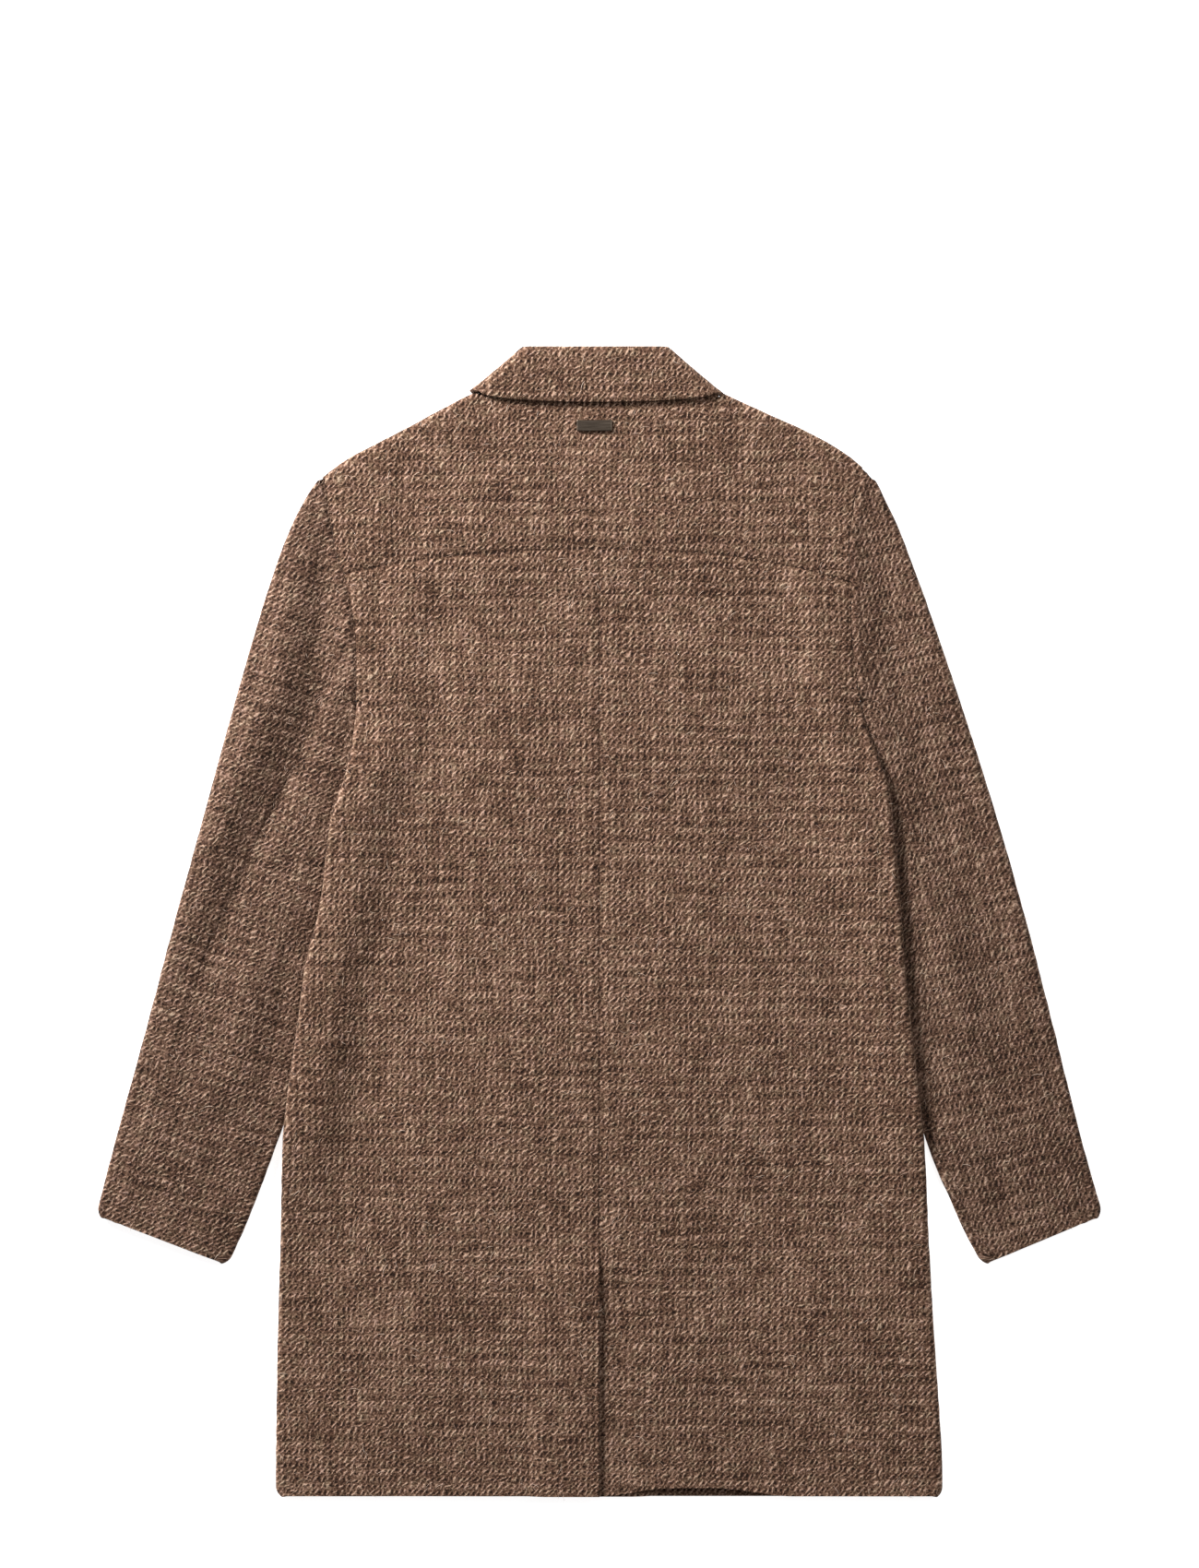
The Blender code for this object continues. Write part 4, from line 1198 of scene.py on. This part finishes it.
PLACE_ROWS = [
    ("grain", "ShaderNodeUVMap", {"uv_map": "grain"}, ()),
    ("u v", "ShaderNodeSeparateXYZ", (), ("grain",)),
    ("aside", "ShaderNodeVectorMath", ADD, ("grain", DRIFT_SHIFT)),
]
for drift_scale, drift_reach in THREAD_DRIFTS:
    for axis, source in (("u", "grain"), ("v", "aside")):
        PLACE_ROWS += [
            ("drift", NOISE, FLAT, {"Vector": source, "Scale": drift_scale, "Detail": 0.0}),
            ("drift", MATHS, SUBTRACT, ("drift", 0.5)),
            (axis, MATHS, MULTIPLY_ADD, ("drift", drift_reach, axis)),
        ]
print("threads stray by up to", sum(reach for scale, reach in THREAD_DRIFTS) / 2, "mm")

# %% Cells and floats
CELL_ROWS = (
    ("across", MATHS, DIVIDE, ("u", CELL[0])),
    ("up", MATHS, DIVIDE, ("v", CELL[1])),
    ("column", MATHS, FLOOR, ("across",)),
    ("pick", MATHS, FLOOR, ("up",)),
    ("a", MATHS, FRACT, ("across",)),
    ("a", MATHS, SUBTRACT, ("a", 0.5)),
    ("a", MATHS, MULTIPLY, ("a", CELL[0])),
    ("b", MATHS, FRACT, ("up",)),
    ("b", MATHS, SUBTRACT, ("b", 0.5)),
    ("b", MATHS, MULTIPLY, ("b", CELL[1])),
    ("cell", JOIN, (), ("column", "pick")),
    ("number chance", WHITE_NOISE, FLAT, {"Vector": "cell"}),
    ("red green blue", "ShaderNodeSeparateColor", (), ("chance",)),
    ("nearest", MATHS, ROUND, ("across",)),
    ("near", JOIN, (), ("nearest", "pick", 5.0)),
    ("depth", WHITE_NOISE, {"noise_dimensions": "3D"}, {"Vector": "near"}),
)

FLOAT_ROWS = (
    ("slope", MATHS, MULTIPLY_ADD, ("blue", 0.5, FLOAT_SLANT - 0.25)),
    ("cosine", MATHS, COSINE, ("slope",)),
    ("sine", MATHS, SINE, ("slope",)),
    ("length", MATHS, MULTIPLY, ("b", "sine")),
    ("length", MATHS, MULTIPLY_ADD, ("a", "cosine", "length")),
    ("side", MATHS, MULTIPLY, ("a", "sine")),
    ("side", MATHS, MULTIPLY, ("side", -1.0)),
    ("side", MATHS, MULTIPLY_ADD, ("b", "cosine", "side")),
    ("length", MATHS, SUBTRACT, ("length", 1.0)),
    ("length", MATHS, MULTIPLY_ADD, ("green", 2.0, "length")),
    ("side", MATHS, SUBTRACT, ("side", 0.6)),
    ("side", MATHS, MULTIPLY_ADD, ("depth", 1.2, "side")),
    ("length", MATHS, DIVIDE, ("length", FLOAT_SIZE[0])),
    ("length", MATHS, ABSOLUTE, ("length",)),
    ("length", MATHS, POWER, ("length", 2.0)),
    ("side", MATHS, DIVIDE, ("side", FLOAT_SIZE[1])),
    ("side", MATHS, ABSOLUTE, ("side",)),
    ("side", MATHS, POWER, ("side", 2.0)),
    ("floats", MATHS, ADD, ("length", "side")),
    ("floats", MATHS, MULTIPLY, ("floats", -1.0)),
    ("floats", MATHS, EXPONENT, ("floats",)),
    ("fullness", MATHS, MULTIPLY_ADD, ("red", 0.8, 0.6)),
    ("floats", MATHS, MULTIPLY, ("floats", "fullness")),
)
print(len(CELL_ROWS) + len(FLOAT_ROWS), "nodes draw the floats")

# %% Holes and yarns
HOLE_ROWS = (
    ("to_hole", MATHS, ABSOLUTE, ("a",)),
    ("to_hole", MATHS, SUBTRACT, ("to_hole", CELL[0] / 2)),
    ("squared", MATHS, MULTIPLY, ("b", "b")),
    ("squared", MATHS, MULTIPLY_ADD, ("to_hole", "to_hole", "squared")),
    ("holes", MATHS, DIVIDE, ("squared", HOLE_SIZE**2)),
    ("holes", MATHS, MULTIPLY, ("holes", -1.0)),
    ("holes", MATHS, EXPONENT, ("holes",)),
    ("darkness", MATHS, MULTIPLY_ADD, ("depth", 1.2, 0.4)),
    ("holes", MATHS, MULTIPLY, ("holes", "darkness")),
)

YARN_ROWS = [
    ("along", MATHS, DIVIDE, ("u", SLUB_LENGTH)),
    ("which", MATHS, MULTIPLY, ("pick", 3.7)),
    ("slub_place", JOIN, (), ("along", "which")),
    ("which", MATHS, MULTIPLY, ("column", 5.3)),
    ("along", MATHS, DIVIDE, ("v", END_LENGTH)),
    ("end_place", JOIN, (), ("which", "along")),
]
for yarn, source, yarn_scale, detail in (
        ("slubs", "slub_place", 1.0, 1.0), ("ends", "end_place", 1.0, 1.0),
        ("cloudy", "grain", 0.021, 2.0), ("wool", "grain", 0.6, 3.0)):
    YARN_ROWS += [
        (yarn, NOISE, FLAT, {"Vector": source, "Scale": yarn_scale, "Detail": detail}),
        (yarn, MATHS, SUBTRACT, (yarn, 0.5)),
    ]
print(len(HOLE_ROWS) + len(YARN_ROWS), "nodes draw the holes and the yarns")

# %% Tone and height of the cloth
TONE_ROWS = [
    # The seam shade mask darkens the tweed along seamed edges: painted shade.
    ("_ _ seamed", "ShaderNodeAttribute", {"attribute_name": "groove"}, ()),
    ("every_other", MATHS, PINGPONG, ("pick", 1.0)),
    ("every_other", MATHS, SUBTRACT, ("every_other", 0.5)),
    ("own", MATHS, SUBTRACT, ("green", 0.5)),
    ("tone", MATHS, MULTIPLY_ADD, ("floats", *FLOAT_TONE)),
    ("height", MATHS, SUBTRACT, ("floats", "holes")),
    ("height", MATHS, MULTIPLY_ADD, ("wool", WOOL_HEIGHT, "height")),
]
for part, amount in (("holes", HOLE_SHADE_TONE), ("every_other", 0.09), ("slubs", 0.32),
                     ("ends", 0.36), ("cloudy", 0.10), ("wool", 1.40),
                     ("seamed", SEAM_SHADE_TONE), ("own", 0.12)):
    TONE_ROWS.append(("tone", MATHS, MULTIPLY_ADD, (part, amount, "tone")))


def weave(tree):
    """Tone and height of the tweed at each place on the grain map."""
    known = {}
    for rows in (PLACE_ROWS, CELL_ROWS, FLOAT_ROWS, HOLE_ROWS, YARN_ROWS, TONE_ROWS):
        add_rows(tree, known, rows)
    return known["grain"], known["tone"], known["height"]


print(len(TONE_ROWS), "nodes mix the tone and the height")

# %% Tweed
TONES = (
    (0.02, "24130b"), (0.20, "472f22"), (0.36, "634a3b"), (0.52, "7b6151"),
    (0.70, "977b6a"), (0.95, "c2a694"),
)
# Painted shade: the sleeves are cut from the body's tweed, and these are its tones made a little
# darker for the light the sleeves lose.
SHADED_SLEEVE_TONES = (
    (0.02, "211108"), (0.20, "412a1f"), (0.36, "5b4436"), (0.52, "71594b"),
    (0.70, "8b7062"), (0.95, "b39a89"),
)
TINTS = ((0.30, "e8e9df"), (0.42, "f0eae1"), (0.5, "eee8e2"), (0.6, "f0e6df"), (0.72, "eae2e2"))


def make_tweed(name, tones):
    """Rough wool scatters light, hardly shines, and has a faint pale sheen."""
    material, tree, shader = new_material(name)
    grain_map, tone, height = weave(tree)
    colour = add_node(tree, RAMP, {"stops": tones}, (tone,)).outputs[0]
    flecks = add_node(tree, "ShaderNodeTexNoise", {"noise_dimensions": "2D"},
                      {"Vector": grain_map, "Scale": 0.11, "Detail": 2.0})
    tint = add_node(tree, RAMP, {"stops": TINTS}, (flecks.outputs["Fac"],)).outputs[0]
    tinted = add_node(tree, "ShaderNodeMix", {"data_type": "RGBA", "blend_type": "MULTIPLY"},
                      {0: 1.0, 6: colour, 7: tint})
    bump = add_node(tree, "ShaderNodeBump", (), {
        "Height": height, "Distance": 0.8 * MM, "Strength": 0.7})
    tree.links.new(tinted.outputs[2], shader.inputs["Base Color"])
    tree.links.new(bump.outputs[0], shader.inputs["Normal"])
    shader.inputs["Roughness"].default_value = 0.95
    shader.inputs["Specular IOR Level"].default_value = 0.15
    shader.inputs["Sheen Weight"].default_value = 0.15
    shader.inputs["Sheen Roughness"].default_value = 0.6
    shader.inputs["Sheen Tint"].default_value = srgb("d9c4b2")
    return material


print("the tweed goes from", TONES[0][1], "to", TONES[-1][1])

# %% Thread, loose fibre and metal
def make_thread():
    """Spun polyester is smoother than wool and shows a fine dark twist."""
    material, tree, shader = new_material("polyester sewing thread")
    where = add_node(tree, "ShaderNodeTexCoord").outputs["Object"]
    twist = add_node(tree, "ShaderNodeTexWave", {"bands_direction": "DIAGONAL"},
                     {"Vector": where, "Scale": 900.0, "Distortion": 1.0})
    colour = add_node(tree, RAMP, {"stops": ((0.0, "2b1a12"), (1.0, "4a3226"))},
                      (twist.outputs["Fac"],)).outputs[0]
    tree.links.new(colour, shader.inputs["Base Color"])
    shader.inputs["Roughness"].default_value = 0.6
    return material


def make_fibre():
    """Loose wool looks paler than the cloth, since light gets all round it."""
    material, tree, shader = new_material("loose wool fibre")
    where = add_node(tree, "ShaderNodeTexCoord").outputs["Object"]
    shades = add_node(tree, "ShaderNodeTexNoise", (), {"Vector": where, "Scale": 60.0})
    colour = add_node(tree, RAMP, {"stops": (
        (0.35, "8b6a57"), (0.5, "b29582"), (0.65, "cdb6a4"))},
        (shades.outputs["Fac"],)).outputs[0]
    tree.links.new(colour, shader.inputs["Base Color"])
    shader.inputs["Roughness"].default_value = 0.9
    return material


def make_gunmetal():
    """Brushed plating is dark, and gleams unevenly along its fine scratches."""
    material, tree, shader = new_material("brushed gunmetal plating")
    where = add_node(tree, "ShaderNodeTexCoord").outputs["Object"]
    stretched = add_node(tree, "ShaderNodeMapping", (),
                         {"Vector": where, "Scale": (60.0, 4000.0, 4000.0)})
    brushed = add_node(tree, "ShaderNodeTexNoise", (),
                       {"Vector": stretched.outputs[0], "Scale": 1.0, "Detail": 3.0})
    colour = add_node(tree, RAMP, {"stops": ((0.3, "4a3f35"), (0.7, "85776a"))},
                      (brushed.outputs["Fac"],)).outputs[0]
    rough = add_node(tree, MATHS, MULTIPLY_ADD, (brushed.outputs["Fac"], 0.25, 0.25)).outputs[0]
    bump = add_node(tree, "ShaderNodeBump", (),
                    {"Height": brushed.outputs["Fac"], "Distance": 0.03 * MM, "Strength": 0.5})
    tree.links.new(colour, shader.inputs["Base Color"])
    tree.links.new(rough, shader.inputs["Roughness"])
    tree.links.new(bump.outputs[0], shader.inputs["Normal"])
    shader.inputs["Metallic"].default_value = 1.0
    return material


print("thread, loose fibre and metal are described")

# %% Finish of every sheet
tweed_body = make_tweed("melange wool tweed", TONES)
# The sleeves get a darker copy of the same tweed: painted shade.
shaded_sleeve_tweed = make_tweed("melange wool tweed on the sleeves", SHADED_SLEEVE_TONES)
thread = make_thread()
fibre = make_fibre()
for name, piece in pieces.items():
    piece.obj.data.materials.append(shaded_sleeve_tweed if name.startswith("sleeve") else tweed_body)
print("tweed cells are", CELL[0], "x", CELL[1], "mm")

# %% [markdown]
# ## Seam stitches and loose fibres
# Geometry Nodes set a row of small stitches into each seam's groove, and
# scatter loose fibres over the upper plies. Both become plain meshes.

# %% Strands
STITCH = (2.4, 0.55)     # length and thickness of one stitch
STITCH_PITCH = 3.1
GROOVE = WALL / 2 - 0.75 # the stitches lie this far above the middle surface
FIBRE = (7.0, 0.32)      # length and thickness of one loose fibre
FIBRE_DENSITY = 6000.0   # for each square metre


def polyline(name, lines):
    mesh = bpy.data.meshes.new(name)
    points, links = [], []
    for line in lines:
        links += [(len(points) + k, len(points) + k + 1) for k in range(len(line) - 1)]
        points += [point * MM for point in line]
    mesh.from_pydata(points, links, [])
    obj = bpy.data.objects.new(name, mesh)
    bpy.context.scene.collection.objects.link(obj)
    return obj


def strand(name, length, thickness, bend, sides):
    """Small strand along X, pinched at its ends, lying on z = 0."""
    bm = bmesh.new()
    rings = []
    for k in range(5):
        t = k / 4
        radius = thickness / 2 * (0.25 + 0.75 * math.sin(math.pi * t))
        middle = Vector(((t - 0.5) * length, bend * math.sin(math.pi * t), thickness * 0.2))
        rings.append([bm.verts.new((middle + radius * Vector((
            0.0, math.cos(math.tau * j / sides), math.sin(math.tau * j / sides)))) * MM)
            for j in range(sides)])
    for lower, upper in zip(rings, rings[1:]):
        for j in range(sides):
            bm.faces.new((lower[j], upper[j], upper[j - 1], lower[j - 1]))
    bm.faces.new(rings[0][::-1])
    bm.faces.new(rings[-1])
    bmesh.ops.recalc_face_normals(bm, faces=bm.faces)
    mesh = bpy.data.meshes.new(name)
    bm.to_mesh(mesh)
    bm.free()
    mesh.shade_smooth()
    return bpy.data.objects.new(name, mesh)


print("stitches are", STITCH_PITCH, "mm apart")

# %% Stitches along a line
def settle(obj, tree, values):
    """Gives obj the tree's result as a plain mesh."""
    modifier = obj.modifiers.new("nodes", "NODES")
    modifier.node_group = tree
    for item in tree.interface.items_tree:
        if item.item_type == "SOCKET" and item.in_out == "INPUT" and item.name in values:
            modifier[item.identifier] = values[item.name]
    graph = bpy.context.evaluated_depsgraph_get()
    mesh = bpy.data.meshes.new_from_object(obj.evaluated_get(graph), depsgraph=graph)
    obj.modifiers.remove(modifier)
    return mesh


def geometry_tree(name, inputs):
    tree = bpy.data.node_groups.new(name, "GeometryNodeTree")
    tree.interface.new_socket("Geometry", in_out="INPUT", socket_type="NodeSocketGeometry")
    for label, kind in inputs:
        tree.interface.new_socket(label, in_out="INPUT", socket_type=kind)
    tree.interface.new_socket("Geometry", in_out="OUTPUT", socket_type="NodeSocketGeometry")
    return tree, add_node(tree, "NodeGroupInput").outputs


def stitch_tree():
    """Stitches at even steps along every line of the input."""
    tree, given = geometry_tree("stitches along a seam", (
        ("Pitch", "NodeSocketFloat"), ("Stitch", "NodeSocketObject"),
        ("Thread", "NodeSocketMaterial"), ("Seed", "NodeSocketInt")))
    curve = add_node(tree, "GeometryNodeMeshToCurve", (), {0: given["Geometry"]})
    steps = add_node(tree, "GeometryNodeResampleCurve", {"mode": "LENGTH"},
                     {"Curve": curve.outputs[0], "Length": given["Pitch"]})
    tangent = add_node(tree, "GeometryNodeInputTangent").outputs[0]
    turned = add_node(tree, "FunctionNodeAlignRotationToVector", {"axis": "X"},
                      {"Vector": tangent})
    one = add_node(tree, "GeometryNodeObjectInfo", (), {"Object": given["Stitch"]})
    size = add_node(tree, "FunctionNodeRandomValue", {"data_type": "FLOAT"},
                    {"Min": 0.85, "Max": 1.1, "Seed": given["Seed"]})
    placed = add_node(tree, "GeometryNodeInstanceOnPoints", (), {
        "Points": steps.outputs[0], "Instance": one.outputs["Geometry"],
        "Rotation": turned.outputs[0], "Scale": size.outputs[1]})
    real = add_node(tree, "GeometryNodeRealizeInstances", (), {0: placed.outputs[0]})
    painted = add_node(tree, "GeometryNodeSetMaterial", (), {
        "Geometry": real.outputs[0], "Material": given["Thread"]})
    add_node(tree, "NodeGroupOutput", (), {0: painted.outputs[0]})
    return tree


print("stitches lie", GROOVE, "mm above the middle of the cloth")

# %% Fibres over a sheet
def fibre_tree():
    """Fibres scattered over the faces that look up."""
    tree, given = geometry_tree("loose fibres", (
        ("Density", "NodeSocketFloat"), ("Fibre", "NodeSocketObject"),
        ("Wool", "NodeSocketMaterial"), ("Seed", "NodeSocketInt")))
    normal = add_node(tree, "GeometryNodeInputNormal").outputs[0]
    upward = add_node(tree, "ShaderNodeSeparateXYZ", (), {0: normal}).outputs[2]
    facing = add_node(tree, "FunctionNodeCompare", {"operation": "GREATER_THAN"},
                      {0: upward, 1: 0.6})
    points = add_node(tree, "GeometryNodeDistributePointsOnFaces", (), {
        "Mesh": given["Geometry"], "Selection": facing.outputs[0],
        "Density": given["Density"], "Seed": given["Seed"]})
    spin = add_node(tree, "FunctionNodeRandomValue", {"data_type": "FLOAT_VECTOR"}, {
        "Min": (0.0, 0.0, -0.2), "Max": (0.0, 0.0, 1.9), "Seed": given["Seed"]})
    size = add_node(tree, "FunctionNodeRandomValue", {"data_type": "FLOAT"},
                    {"Min": 0.5, "Max": 1.5, "Seed": given["Seed"]})
    turned = add_node(tree, "FunctionNodeRotateRotation", (), {
        "Rotation": points.outputs["Rotation"], "Rotate By": spin.outputs[0]})
    one = add_node(tree, "GeometryNodeObjectInfo", (), {"Object": given["Fibre"]})
    placed = add_node(tree, "GeometryNodeInstanceOnPoints", (), {
        "Points": points.outputs["Points"], "Instance": one.outputs["Geometry"],
        "Rotation": turned.outputs[0], "Scale": size.outputs[1]})
    real = add_node(tree, "GeometryNodeRealizeInstances", (), {0: placed.outputs[0]})
    painted = add_node(tree, "GeometryNodeSetMaterial", (), {
        "Geometry": real.outputs[0], "Material": given["Wool"]})
    add_node(tree, "NodeGroupOutput", (), {0: painted.outputs[0]})
    return tree


print("there are", FIBRE_DENSITY, "fibres to a square metre")

# %% Sewn seams
def lifted(points):
    return [Vector((x, y, z + GROOVE)) for x, y, z in points]


def seam_lines():
    lines = {"yoke_seam": [], "centre_seam": [], "armhole_seams": [], "hindarm_seams": []}
    ends = [body_edge("left", YOKE_END_Y["left"]) + 4.0,
            body_edge("right", YOKE_END_Y["right"]) - 4.0]
    lines["yoke_seam"].append([
        Vector((x, yoke_seam_y(x), body_top(x, yoke_seam_y(x)))) for x in dense(ends, 4.0)])
    ys = dense([YOKE_CENTRE_Y - 3.0, VENT_TOP_Y], 4.0)
    lines["centre_seam"].append([Vector((0.0, y, body_top(0.0, y))) for y in ys])
    for side in ("left", "right"):
        ys = dense([TIP_Y[side] - 8.0, UNDERARM_Y + 4.0], 4.0)
        lines["armhole_seams"].append([
            Vector((body_edge(side, y), y, body_top(body_edge(side, y), y))) for y in ys])
        lines["hindarm_seams"].append(hind_seams[side][2:-2])
    return lines


seams = seam_lines()
stitch = strand("stitch", *STITCH, 0.0, 6)
stitches = stitch_tree()
sewn = []
for name, lines in seams.items():
    path = polyline(name, [lifted(line) for line in lines])
    mesh = settle(path, stitches, {
        "Pitch": STITCH_PITCH * MM, "Stitch": stitch, "Thread": thread, "Seed": 3})
    path.data = mesh
    mesh.name = name
    mesh.shade_smooth()
    sewn.append(path)
    print(name, "has", len(mesh.polygons), "faces of thread")
print(len(sewn), "seams are sewn")

# %% Loose fibres
loose = strand("loose_fibre", *FIBRE, 0.9, 3)
scatter = fibre_tree()
fluff = []
for k, name in enumerate(sorted(pieces)):
    if name.startswith(("front", "collar_stand")):
        continue
    mesh = settle(pieces[name].obj, scatter, {
        "Density": FIBRE_DENSITY, "Fibre": loose, "Wool": fibre, "Seed": k})
    mesh.name = name.replace("_cloth", "_fibres")
    mesh.shade_smooth()
    obj = bpy.data.objects.new(mesh.name, mesh)
    bpy.context.scene.collection.objects.link(obj)
    fluff.append(obj)
print("loose fibres have", sum(len(obj.data.polygons) for obj in fluff), "faces")

# %% [markdown]
# ## Pieces in place
# Each piece of cloth, a sheet that was laid down, stands in for its solid of the
# frame, which is hidden. The cut size kept with each piece is what the grain map measures.


for obj in sewn + fluff:
    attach(obj, "root")
for name, piece in pieces.items():
    node = name.replace("_cloth", "")
    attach(piece.obj, "root")
    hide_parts(node)
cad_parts["yoke_bar"].data.materials.clear()
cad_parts["yoke_bar"].data.materials.append(make_gunmetal())
print(len(pieces), "solids are replaced")

# %% [markdown]
# ## Floor, light and camera
# A pale plain floor that is lit from beneath, a soft key light low on the upper
# left, which rakes over the creases, a weaker fill from the right, and a camera
# straight above.

# %% Floor
FLOOR_SIZE = 30.0
FLOOR_GLOW = 0.80        # lit from beneath, which lightens its shadows
KEY = ((-1.85, 1.9, 1.12), (0.9, 0.7), 190.0)  # place, size and power
FILL = ((1.2, 1.0, 1.6), (1.4, 1.2), 15.0)
WORLD_LIGHT = 0.22
CAMERA_HEIGHT = 3.01
CAMERA_Y = 0.114
LENS = 83.6


def make_floor():
    mesh = bpy.data.meshes.new("floor")
    half = FLOOR_SIZE / 2
    mesh.from_pydata([(-half, -half, 0.0), (half, -half, 0.0), (half, half, 0.0),
                      (-half, half, 0.0)], [], [(0, 1, 2, 3)])
    floor = bpy.data.objects.new("floor", mesh)
    bpy.context.scene.collection.objects.link(floor)
    material, tree, shader = new_material("matt white paint")
    where = add_node(tree, "ShaderNodeTexCoord").outputs["Object"]
    mottle = add_node(tree, "ShaderNodeTexNoise", (), {"Vector": where, "Scale": 3.0})
    colour = add_node(tree, RAMP, {"stops": ((0.3, "fdfdfd"), (0.7, "ffffff"))},
                      (mottle.outputs["Fac"],)).outputs[0]
    tree.links.new(colour, shader.inputs["Base Color"])
    shader.inputs["Roughness"].default_value = 0.8
    shader.inputs["Specular IOR Level"].default_value = 0.1
    shader.inputs["Emission Color"].default_value = srgb("ffffff")
    shader.inputs["Emission Strength"].default_value = FLOOR_GLOW
    mesh.materials.append(material)
    return floor


print("the floor is", FLOOR_SIZE, "m wide")

# %% Lights
def make_light(name, place, size, power):
    """An area light that aims at the middle of the coat."""
    data = bpy.data.lights.new(name, "AREA")
    data.shape = "RECTANGLE"
    data.size, data.size_y = size
    data.energy = power
    light = bpy.data.objects.new(name, data)
    light.location = place
    light.rotation_euler = (-Vector(place)).to_track_quat("-Z", "Y").to_euler()
    bpy.context.scene.collection.objects.link(light)
    return light


print("the key and the fill have", KEY[2], "and", FILL[2], "W")

# %% Stage
floor = make_floor()
make_light("key", *KEY)
make_light("fill", *FILL)
world = bpy.data.worlds.new("studio")
world.use_nodes = True
world.node_tree.nodes["Background"].inputs["Color"].default_value = srgb("fdfdff")
world.node_tree.nodes["Background"].inputs["Strength"].default_value = WORLD_LIGHT
bpy.context.scene.world = world
bpy.context.scene.view_settings.view_transform = "Standard"
print("the world gives", WORLD_LIGHT)

# %% Camera
camera = bpy.data.objects.new("camera", bpy.data.cameras.new("camera"))
camera.data.lens = LENS
camera.data.sensor_width = 36.0
camera.location = (0.0, CAMERA_Y, CAMERA_HEIGHT)
bpy.context.scene.collection.objects.link(camera)
bpy.context.scene.camera = camera
print("the camera hangs", CAMERA_HEIGHT, "m up")

# %% [markdown]
# ## Sheets
# The number of cloth sheets is printed.

# %% Number of sheets
print(len(pieces), "sheets are declared")
